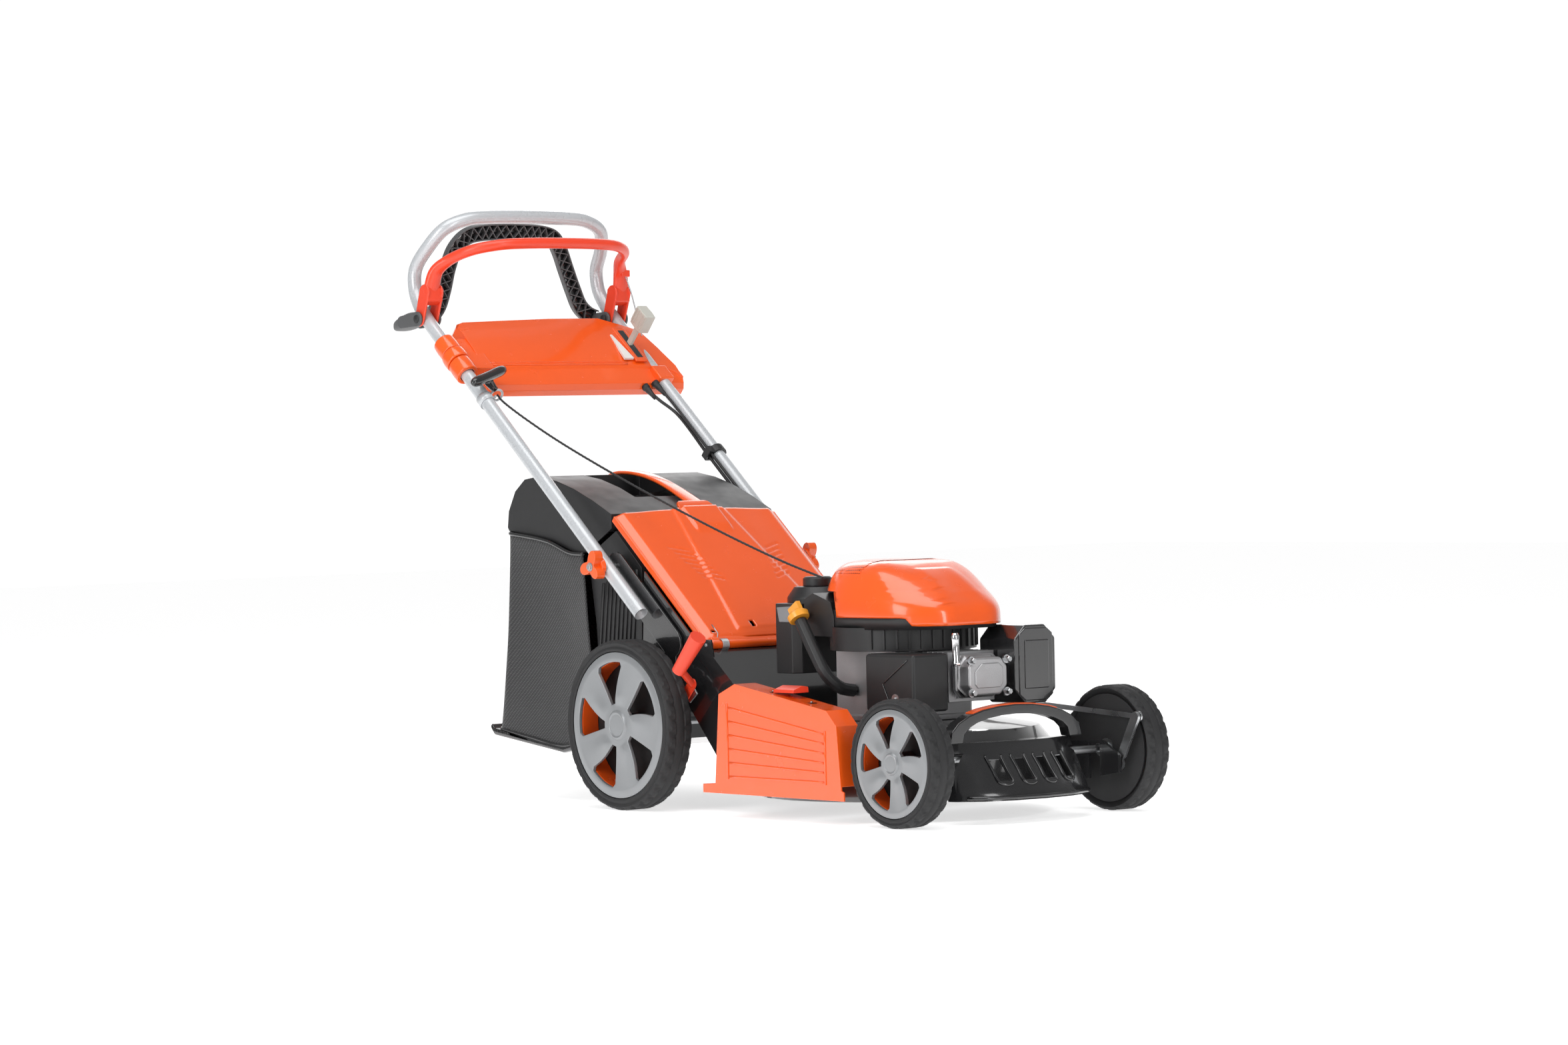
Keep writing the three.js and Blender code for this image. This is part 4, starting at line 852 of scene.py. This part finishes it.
def add_starter_parts():
    a, b = Vector(on_tube(-241, -214, 29)), Vector(on_tube(-147, -174, 29))
    path = [a.lerp(b, i / 20) for i in range(21)]

    def section(share):
        end = math.sqrt(max(0.02, 1 - abs(2 * share - 1) ** 5))
        return [(p * (10.5 - 1.5 * math.sin(math.pi * share)) * end, q * 9.5 * end) for p, q in ring(1, 22)]
    neck = sweep([Vector(on_tube(*p)) for p in ((-194, -194, 24), (-190, -198, 18), (-183, -205, 12),
                                                 (-179, -209, 10))],
                 lambda share: ring(6.5 + 2 * (0.5 - share) + 3 * (1 - share) ** 2, 18), (0, 0, 1))
    grip = merge(sweep(path, section, (0, 0, 1)), neck)
    make_piece("starter_handle", *grip, "gloss_black", "starter_grip", True, ["starter_grip"])
    loop = []
    for i in range(41):
        turn = -1.1 * math.pi + 2.15 * math.pi * i / 40
        across, over = 9.5 * math.cos(turn), 9.5 * math.sin(turn)
        loop.append(Vector(on_tube(-175 + across, -214 + 12 * i / 40 - 6, 3 + over)))
    tail = [Vector(on_tube(-192, -224, -2)), Vector(on_tube(-188, -222, -1))]
    eyelet = sweep(spline([*tail, *loop[::4]], 70), ring(2.1, 12), (0, 0, 1))
    collar = lathe([(12.1, -8), (14.2, -8), (14.2, 8), (12.1, 8), (12.1, -8)], on_tube(-TUBE_X, -224, 0),
                   (0, COS, SIN), 32)
    make_piece("wire_eyelet", *merge(eyelet, collar), "silver_paint", "handle", True, ["rope_guide"])


def add_knob(side):
    word = "left" if side > 0 else "right"
    outline = []
    for i in range(60):
        a = math.tau * i / 60
        r = 18.5 + 8.5 * math.cos(3 * a + 0.7) + (2.5 * math.cos(a - 0.6))
        outline.append((FOLD.y + r * math.cos(a), FOLD.z + r * math.sin(a)))
    x0, x1 = sorted((side * 221, side * 238))
    wing = prism(outline, "x", x0, x1)
    collar = lathe([(0, 0), (17, 0), (15, 8), (0, 8)], (side * 216.6, FOLD.y, FOLD.z), (side, 0, 0), 32)
    knob = make_piece("lobed_knob_" + word, *merge(wing, collar), "orange_plastic", "knob_" + word, True,
                      ["clamp_knob_" + word])
    soften(knob, 4.0, 3, 40)
    screw = bolt((side * 237.6, FOLD.y, FOLD.z), (side, 0, 0), 5.5, 5)
    inner = lathe([(0, 0), (4.4, 0), (4.4, 40), (0, 40)], (side * 178, FOLD.y, FOLD.z), (side, 0, 0), 16)
    make_piece("knob_screw_" + word, *merge(screw, inner), "steel", "knob_" + word, False)


# ---------------------------------------------------------------- cables and rope
def lane(s, n):
    return on_tube(187.2, s, n)


def flap_point(s, n):
    return (540 + s * COS - n * SIN, 270 + s * SIN + n * COS)


ROPE = [
    on_tube(-174.5, -228, 3), (-160, 990, 622), (-140, 800, 540), (-118, 600, 462), (-100, 440, 406),
    (-90, 345, 378),
]
BRAKE_CABLE = [
    on_tube(163, -196, -4), on_tube(172, -225, -4), lane(-262, -4), lane(-377, -4), lane(-440, -4),
    lane(-500, -4), lane(-557, -4), lane(-578, -4), (183, 815, 437), (176.5, 790, 424),
    (176, 750, 412), (176, 705, 396.5),
    (176, *flap_point(150, -9)), (176, *flap_point(60, -6)), (176, *flap_point(15, 18)), (160, 505, 302),
    (110, 475, 325), (60, 455, 341), (48, 450, 340.5),
]
DRIVE_CABLE = [
    on_tube(181, -196, 4), on_tube(186, -228, 4), lane(-270, 4), lane(-377, 4), lane(-470, 4), lane(-557, 4),
    lane(-578, 4), on_tube(189, -610, 12), on_tube(189.2, -660, 13), on_tube(189.4, -720, 4),
    (189.5, 668, 300), (189.5, 664, 240), (189, 662, 205), (184, 662, 180), (172, 662, 172.5),
    (130, 663, 172.5), (60, 664, 172.5), (30, 666, 171),
]


def add_cables():
    for name, route, radius, node in (("engine_stop_cable", BRAKE_CABLE, 2.8, "brake_cable"),
                                      ("clutch_cable", DRIVE_CABLE, 2.5, "drive_cable")):
        path = spline(route, 240)
        shape = sweep(path, ring(radius, 12), (1, 0, 0))
        cable = make_piece(name, *shape, "belt_rubber", None, True)
        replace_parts(cable, node)
        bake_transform(cable)
    strands, turns = 3, 90
    path = spline([on_tube(-175, -213, 3), *ROPE], 360)

    def section(share):
        twist = turns * math.tau * share
        return [(r * math.cos(a), r * math.sin(a)) for r, a in
                ((1.75 + 0.3 * math.cos(strands * (math.tau * k / 14) + twist), math.tau * k / 14)
                 for k in range(14))]
    rope = make_piece("recoil_rope", *sweep(path, section, (1, 0, 0)), "belt_rubber", None, True)
    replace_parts(rope, "starter_rope")
    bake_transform(rope)


# ---------------------------------------------------------------- rear flap
def add_rear_flap():
    def height(x, s):
        edge = abs(x)
        side = -2 + 8 * smooth_step((172 - edge) / 20) + 4 * smooth_step((152 - edge) / 92)
        # Raised centre that widens towards the foot, and a crease on each side of it.
        half = 58 + 52 * (1 - s / 326)
        raised = 3.2 * smooth_step((half - edge) / 9) * smooth_step((s - 18) / 12)
        hood = 4.5 * smooth_step((40 - edge) / 5) * smooth_step((s - 258) / 26)
        sunk = 0
        for k in range(7):
            for hand in (-1, 1):
                along = s - (150 + 13 * k)
                away = x - hand * (86 + 0.32 * (s - 190))
                if abs(away) < 16:
                    sunk += 2.0 * max(0, 1 - abs(along - 0.45 * hand * away) / 3.2)
        return side + raised + hood - sunk

    columns, rows = 116, 110
    s_low, s_high = 9, 326
    verts, faces = [], []
    for i in range(rows + 1):
        s = s_low + (s_high - s_low) * i / rows
        for j in range(columns + 1):
            x = -172 + 344 * j / columns
            n = height(x, s) - (3 * (1 - i / 3) if i < 3 else 0)
            verts.append((x, *flap_point(s, n)))
    slots = [(-66, 26, 40), (88, 26, 40), (-150, 22, 30)]
    for i in range(rows):
        s = s_low + (s_high - s_low) * (i + 0.5) / rows
        for j in range(columns):
            x = -172 + 344 * (j + 0.5) / columns
            if any(abs(x - sx) < 4.5 and s0 < s < s1 for sx, s0, s1 in slots):
                continue
            a = i * (columns + 1) + j
            faces.append((a, a + 1, a + columns + 2, a + columns + 1))
    skin = make_piece("flap_skin", verts, faces, "orange_plastic", "rear_flap", True, ["rear_flap"])
    thick = skin.modifiers.new("thickness", "SOLIDIFY")
    thick.thickness = 3 * MM
    thick.offset = -1 if flap_faces_out(skin) else 1
    skirts = []
    for side in (-1, 1):
        x0, x1 = sorted((side * 169, side * 172))
        edge = [flap_point(9, -12), flap_point(9, -1.5), flap_point(326, -1.5), flap_point(326, -12)]
        skirts.append(prism(edge, "x", x0, x1))
    tab = []
    for s, half, n in ((318, 38, 11.5), (334, 37, 12), (344, 33, 11), (349, 26, 9)):
        corners = ((-half, 0), (half, 0), (half, 6), (-half, 6))
        tab.append([(x, *flap_point(s, n - low)) for x, low in corners])
    barrel = lathe([(0, 0), (7, 0), (7, 336), (0, 336)], (-168, 540, 270), (1, 0, 0), 24)
    edges = merge(*skirts, loft(tab), barrel, prism([flap_point(2, 2), flap_point(2, 6), flap_point(13, 6),
                                                     flap_point(13, 2)], "x", -165, 165))
    soften(make_piece("flap_edges", *edges, "orange_plastic", "rear_flap", True), 1.4, 3)
    coil = []
    for i in range(121):
        turn = math.tau * 6 * i / 120
        coil.append(Vector((-150 + 14 * i / 120, 540 + 9 * math.cos(turn), 270 + 9 * math.sin(turn))))
    start = [Vector((-152, *flap_point(34, 13.2))), Vector((-151, *flap_point(14, 12)))]
    make_piece("flap_spring", *sweep([*start, *coil], ring(1.0, 8), (1, 0, 0)), "steel", "rear_flap", True)


def smooth_step(t):
    t = max(0.0, min(1.0, t))
    return t * t * (3 - 2 * t)


def flap_faces_out(piece):
    """True when the skin's faces look up and forwards."""
    outward = Vector((0, -SIN, COS))
    return sum(p.normal.dot(outward) for p in piece.data.polygons) > 0


# ---------------------------------------------------------------- detail on the CAD faces
TREES = {}


def hit(node, start, heading):
    """Where a ray, in millimetres, first meets a CAD node."""
    if node not in TREES:
        piece = NODES[node]
        points = [piece.matrix_world @ v.co for v in piece.data.vertices]
        TREES[node] = BVHTree.FromPolygons(points, [tuple(p.vertices) for p in piece.data.polygons])
    place = TREES[node].ray_cast(at(*start), Vector(heading))[0]
    return (place.x / MM, place.y / MM - AXLE_Y, place.z / MM)


def line(a, b, count):
    """Evenly spaced points from a to b."""
    return [Vector(a).lerp(Vector(b), i / count) for i in range(count + 1)]


# ---------------------------------------------------------------- engine
COWL_MIDDLE = 240
COWL_ROWS = [  # height, front, half width at the front, half width, rear
    (303, 87, 64, 118, 376), (330, 92, 64, 118, 376), (358, 125, 58, 112, 372), (385, 165, 52, 100, 362),
    (400, 200, 46, 80, 345), (405, 225, 30, 50, 320),
]


def cowl_ring(row):
    height, front, front_half, half, rear = row
    back = rear - COWL_MIDDLE
    shoulder = front + 0.35 * (COWL_MIDDLE - front)
    side = [
        (0, front - 1), (front_half * 0.8, front), ((front_half + half) / 2 + 12, shoulder),
        (half, COWL_MIDDLE), (0.93 * half, COWL_MIDDLE + 0.5 * back),
        (0.62 * half, COWL_MIDDLE + 0.87 * back), (0, rear + 1),
    ]
    right = spline([(x, y, height) for x, y in side], 44)
    return right + [Vector((-p.x, p.y, p.z)) for p in reversed(right[1:-1])]


def cowl_skirt(x, y):
    """Lower edge: steps up behind the front corner and clears the fuel tank."""
    if x < -38 and y > 286:
        return 357
    return 303 + 13 * smooth_step((y - 122) / 12)


def cowl_panel(x, y):
    """Blank raised panel on the front slope."""
    half = 46 - 0.16 * (y - 110)
    return 1.8 * smooth_step((half - abs(x)) / 4) * smooth_step((y - 108) / 5) * smooth_step((178 - y) / 5)


def add_cowl():
    rings = [cowl_ring(row) for row in spline(COWL_ROWS, 36)]
    columns = list(zip(*rings))
    shaped = []
    for column in columns:
        low = cowl_skirt(column[0].x, column[0].y)
        foot = min((p for p in column if p.z >= low), key=lambda p: p.z)
        shaped.append([p if p.z >= low else Vector((foot.x, foot.y, low)) for p in column])
    rings = [[Vector((p.x, p.y, p.z + cowl_panel(p.x, p.y))) for p in row] for row in zip(*shaped)]
    count = len(rings[0])
    faces = []
    for i in range(len(rings) - 1):
        for k in range(count):
            j = (k + 1) % count
            faces.append((i * count + k, i * count + j, (i + 1) * count + j, (i + 1) * count + k))
    faces.append(tuple((len(rings) - 1) * count + k for k in range(count)))
    verts, faces = weld([tuple(p) for row in rings for p in row], faces)
    cowl = make_piece("cowl_shell", verts, faces, "orange_plastic", "chassis", True, ["engine_cowl"])
    thick = cowl.modifiers.new("thickness", "SOLIDIFY")
    thick.thickness = 2.5 * MM
    thick.offset = -1
    shade = [[(p.x * 0.95, COWL_MIDDLE + (p.y - COWL_MIDDLE) * 0.95, z) for p in cowl_ring(COWL_ROWS[0])]
             for z in (297, 328)]
    make_piece("blower_collar", *loft(shade), "black_plastic", "chassis")
    # Cooling grille over the rear half of the crown, its holes drawn as spots of painted shade in the
    # material.
    patch = []
    for row in rings:
        for p in row:
            patch.append((p.x, p.y, p.z + 0.7))
    grille = []
    for i in range(len(rings) - 1):
        for k in range(count):
            j = (k + 1) % count
            corners = [rings[i][k], rings[i][j], rings[i + 1][j], rings[i + 1][k]]
            if all(p.y > 238 and p.z > 384 for p in corners):
                grille.append((i * count + k, i * count + j, (i + 1) * count + j, (i + 1) * count + k))
    grille.append(tuple((len(rings) - 1) * count + k for k in range(count)))
    make_piece("cooling_grille", patch, grille, "orange_grille", "chassis", True)


def add_engine_details():
    ribs = []
    for k in range(15):
        turn = math.radians(195 + 11 * k)
        start = (230 * math.cos(turn), 235 + 230 * math.sin(turn), 282)
        x, y, _ = hit("blower_housing", start, (-math.cos(turn), -math.sin(turn), 0))
        ribs.append(turn_into(block(-1.5, 2.5, -1.6, 1.6, 266, 298), lambda a, b, c, x=x, y=y, turn=turn: (
            x + a * math.cos(turn) - b * math.sin(turn), y + a * math.sin(turn) + b * math.cos(turn), c)))
    make_piece("blower_ribs", *merge(*ribs), "black_plastic", "chassis", False)
    corners = [(x, z) for x in (-37, 37) for z in (197, 248)]
    bolts = [bolt((x, 52, z), (0, -1, 0), 5, 12) for x, z in corners]
    make_piece("valve_cover_bolts", *merge(*bolts), "steel", "chassis", False)
    face = hit("valve_cover", (0, 0, 222), (0, 1, 0))[1]
    raised = loft([[(x, y, z) for x, z in ((-24, 204), (24, 204), (29, 212), (29, 236), (20, 243), (-14, 243),
                                             (-29, 230), (-29, 210))] for y in (face + 1, face - 2.2)])
    soften(make_piece("valve_cover_panel", *raised, "cast_aluminium", "chassis"), 1.6, 3)
    outer = [(60, 189), (72, 180), (118, 180), (130, 189), (130, 286), (118, 295), (72, 295), (60, 286)]
    inner = [(70, 199), (120, 199), (120, 276), (70, 276)]
    y = hit("muffler", (95, 0, 237), (0, 1, 0))[1]
    step = merge(prism(outer, "y", y - 2.5, y + 1), prism(inner, "y", y - 4.6, y + 1))
    soften(make_piece("muffler_guard", *step, "black_paint", "chassis"), 2.2, 3)
    x = hit("air_filter", (-200, 110, 215), (1, 0, 0))[0]
    wedge = [(88, 252), (148, 214), (128, 178)]
    groove = [Vector((x - 0.6, *p)) for p in wedge]
    crease = sweep(line(groove[0], groove[1], 8) + line(groove[1], groove[2], 8)[1:], ring(1.3, 8), (1, 0, 0))
    make_piece("air_filter_crease", *crease, "gloss_black", "chassis")
    spot, outward = (x, 118, 190), (-1, 0, 0)
    screw = merge(bolt(spot, outward, 4, 3), lathe([(0, 0), (9, 0), (9, 1), (0, 1)], spot, outward, 24))
    make_piece("air_filter_screw", *screw, "steel", "chassis", False)
    boot = lathe([(0, 0), (7, 0), (7.5, 6), (6, 10), (6, 40), (7, 46), (5, 52), (0, 52)], (-54, 64, 240),
                 (0, 0.05, 1), 24)
    make_piece("spark_plug_boot", *boot, "chrome", "chassis")
    x = hit("fuel_tank", (-200, 425, 318), (1, 0, 0))[0]
    window = prism([(405, 306), (440, 306), (446, 330), (410, 332)], "x", x - 1.6, x + 1)
    soften(make_piece("fuel_window", *window, "trim_silver", "chassis"), 1.2, 2)
    x = hit("engine_block", (-200, 215, 220), (1, 0, 0))[0]
    plate = block(x - 1.2, x + 1, 196, 232, 176, 244)
    soften(make_piece("blank_plate", *plate, "white_mark", "chassis"), 0.6)
    spots = [(x, y, z) for y, z in ((185, 168), (243, 168), (185, 252), (243, 252))]
    bolts = [bolt(spot, (-1, 0, 0), 5, 6) for spot in spots]
    make_piece("crankcase_bolts", *merge(*bolts), "steel", "chassis", False)


# ---------------------------------------------------------------- deck trim
def add_nose_details():
    scoops = []
    for x in (-66, -22, 22, 66):
        rim = [(x - 13, 104), (x - 12, 84), (x - 11, 64), (x, 60), (x + 11, 64), (x + 12, 84), (x + 13, 104)]
        path = []
        for px, pz in rim:
            place = hit("nose_bumper", (px, -160, pz), (0, 1, 0))
            path.append(Vector((px, place[1] - 0.6, pz)))
        scoops.append(sweep(spline(path, 36), ring(2.6, 12), (1, 0, 0)))
    make_piece("nose_scoops", *merge(*scoops), "gloss_black", "chassis")
    path = []
    for i in range(29):
        x = -126 + 9 * i
        path.append(Vector((x, hit("nose_bumper", (x, -160, 42), (0, 1, 0))[1] - 0.5, 41)))
    make_piece("nose_lip", *sweep(path, ring(3.2, 12, 4.5), (0, 0, 1)), "gloss_black", "chassis")
    strip = []
    for i in range(33):
        x = -88 + 5.5 * i
        z = hit("carry_arch", (x, -2, 320), (0, 0, -1))[2]
        strip.append([(x, y, z + up) for y, up in ((-11, -1), (7, -1), (7, 1.8), (-11, 1.8))])
    soften(make_piece("arch_strip", *loft(strip), "orange_plastic", "chassis"), 0.8, 2, 50)


def cover_face(y, z):
    return hit("side_cover", (-330, y, z), (1, 0, 0))[0]


def add_side_cover_details():
    ribs = []
    for k in range(6):
        route = line((0, 396, 66 + 22 * k), (0, 160, 66 + 15 * k), 12)
        path = [Vector((cover_face(p.y, p.z) - 0.3, p.y, p.z)) for p in route]
        ribs.append(sweep(path, ring(1.7, 10), (0, 0, 1)))
    for y, z0, z1 in ((400, 62, 182), (156, 62, 146)):
        path = [Vector((cover_face(y, z) - 0.3, y, z)) for z in (z0, (z0 + z1) / 2, z1)]
        ribs.append(sweep(path, ring(1.7, 10), (0, 1, 0)))
    make_piece("side_cover_ribs", *merge(*ribs), "orange_plastic", "side_cover")
    windows, wires = [], []
    for y in (212, 307):
        top = hit("side_cover", (-228, y, 320), (0, 0, -1))[2]
        windows.append(block(-235, -222, y - 6, y + 6, top - 2, top + 0.5))
        route = line((-233, y - 5, top + 1.4), (-223, y + 5, top + 1.4), 3)
        wires.append(sweep(route, ring(1.3, 8), (0, 0, 1)))
    make_piece("hinge_windows", *merge(*windows), "gloss_black", "side_cover", False)
    make_piece("hinge_wires", *merge(*wires), "steel", "side_cover")


# ---------------------------------------------------------------- grass catcher
CLOTH_FOOT = [(839, 112), (934, 93), (1030, 104), (1128, 118)]
CLOTH_HEAD = [(870, 417), (905, 419), (968, 438), (1088, 453)]


def along(points, share):
    """The point a given share of the way through a list."""
    spot = min(max(share, 0), 1) * (len(points) - 1)
    i = min(int(spot), len(points) - 2)
    return points[i].lerp(points[i + 1], spot - i)


def cloth_point(x, w, v):
    """The catcher's side seen from the side: w runs to the rear, v up."""
    foot = spline([(0, y, z) for y, z in CLOTH_FOOT], 30)
    head = spline([(0, y, z) for y, z in CLOTH_HEAD], 30)
    low, high = along(foot, w), along(head, w)
    return Vector((x, low.y + (high.y - low.y) * v, low.z + (high.z - low.z) * v))


def add_bag_cloth():
    half, corner = 178, 20
    side_steps, arc_steps, rows = 36, 8, 36
    verts, faces = [], []
    for i in range(rows + 1):
        v = i / rows
        pull = math.sin(math.pi * v) ** 0.8
        line_of_row = []
        for hand in (-1, 1):
            part = []
            for k in range(side_steps + 1):
                w = k / side_steps * 0.93
                sag = 11 * pull * math.sin(math.pi * w)
                crease = 0.7 * pull * math.sin(8 * w + 5 * v + hand) * math.sin(7 * v - 3 * w)
                part.append(cloth_point(hand * (half - sag - crease), w, v))
            rear = cloth_point(hand * (half - corner), 1, v) - Vector((0, 9 * pull, 0))
            last = part[-1]
            for k in range(1, arc_steps + 1):
                a = math.pi / 2 * k / arc_steps
                part.append(Vector((last.x + (rear.x - last.x) * (1 - math.cos(a)),
                                    last.y + (rear.y - last.y) * math.sin(a),
                                    last.z + (rear.z - last.z) * math.sin(a))))
            line_of_row.append(part)
        near, far = line_of_row
        back = []
        for k in range(1, 32):
            share = k / 32
            point = near[-1].lerp(far[-1], share)
            point.y += pull * (-7 * math.sin(math.pi * share) + 0.7 * math.sin(11 * share + 5 * v))
            back.append(point)
        row = near + back + far[::-1]
        verts += [tuple(p) for p in row]
    count = len(row)
    for i in range(rows):
        for k in range(count - 1):
            faces.append((i * count + k, i * count + k + 1, (i + 1) * count + k + 1, (i + 1) * count + k))
    cloth = make_piece("catcher_cloth", verts, faces, "bag_cloth", "grass_bag", True, ["bag_fabric"])
    thick = cloth.modifiers.new("thickness", "SOLIDIFY")
    thick.thickness = 1.2 * MM
    thick.offset = 0
    hems = []
    for share, radius in ((0.0, 3.0), (1.0, 3.4)):
        start = round(share * rows) * count
        hems.append(sweep([Vector(p) for p in verts[start:start + count]], ring(radius, 10), (0, 0, 1)))
    make_piece("catcher_piping", *merge(*hems), "gloss_black", "grass_bag")


def add_bag_details():
    band = []
    for i in range(41):
        y = 799 + 235 * i / 40
        z = 491 + 61 * math.sin(math.pi / 2 * min(1, (y - 799) / 205)) - 4 * max(0, (y - 1004) / 30) ** 2
        half = 14 + 3 * math.cos(math.pi * i / 40) ** 2
        band.append([(20 + half * power(math.cos(a)), y, z + 3.6 * power(math.sin(a)))
                     for a in [math.tau * k / 16 for k in range(16)]])
    make_piece("catcher_handle", *loft(band), "orange_plastic", "grass_bag", True, ["bag_handle"])
    slats = []
    for side in (-1, 1):
        for k in range(9):
            y = 742 + 11.5 * k
            foot = Vector((side * 168.5, y + 14, 190))
            head = Vector((side * 168.5, y - 8, 392 - 3 * k))
            slats.append(sweep(line(foot, head, 4), ring(2.2, 8, 3.4), (1, 0, 0)))
    make_piece("catcher_grate", *merge(*slats), "black_plastic", "grass_bag")


# ---------------------------------------------------------------- assembling
add_camera()
add_cables()
add_studio()
for wheel in WHEELS:
    add_wheel(wheel)
add_handlebar()
add_brake_bail()
add_drive_bail()
add_console()
add_speed_lever()
add_starter_parts()
add_knob(1)
add_knob(-1)
add_rear_flap()
add_cowl()
add_engine_details()
add_nose_details()
add_side_cover_details()
add_bag_cloth()
add_bag_details()
replaced = {n for o in bpy.data.objects for n in (o.get("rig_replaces") or [])}
for node in NODES:
    if node not in replaced:
        polish(node, ROUNDING.get(node, 1.0))
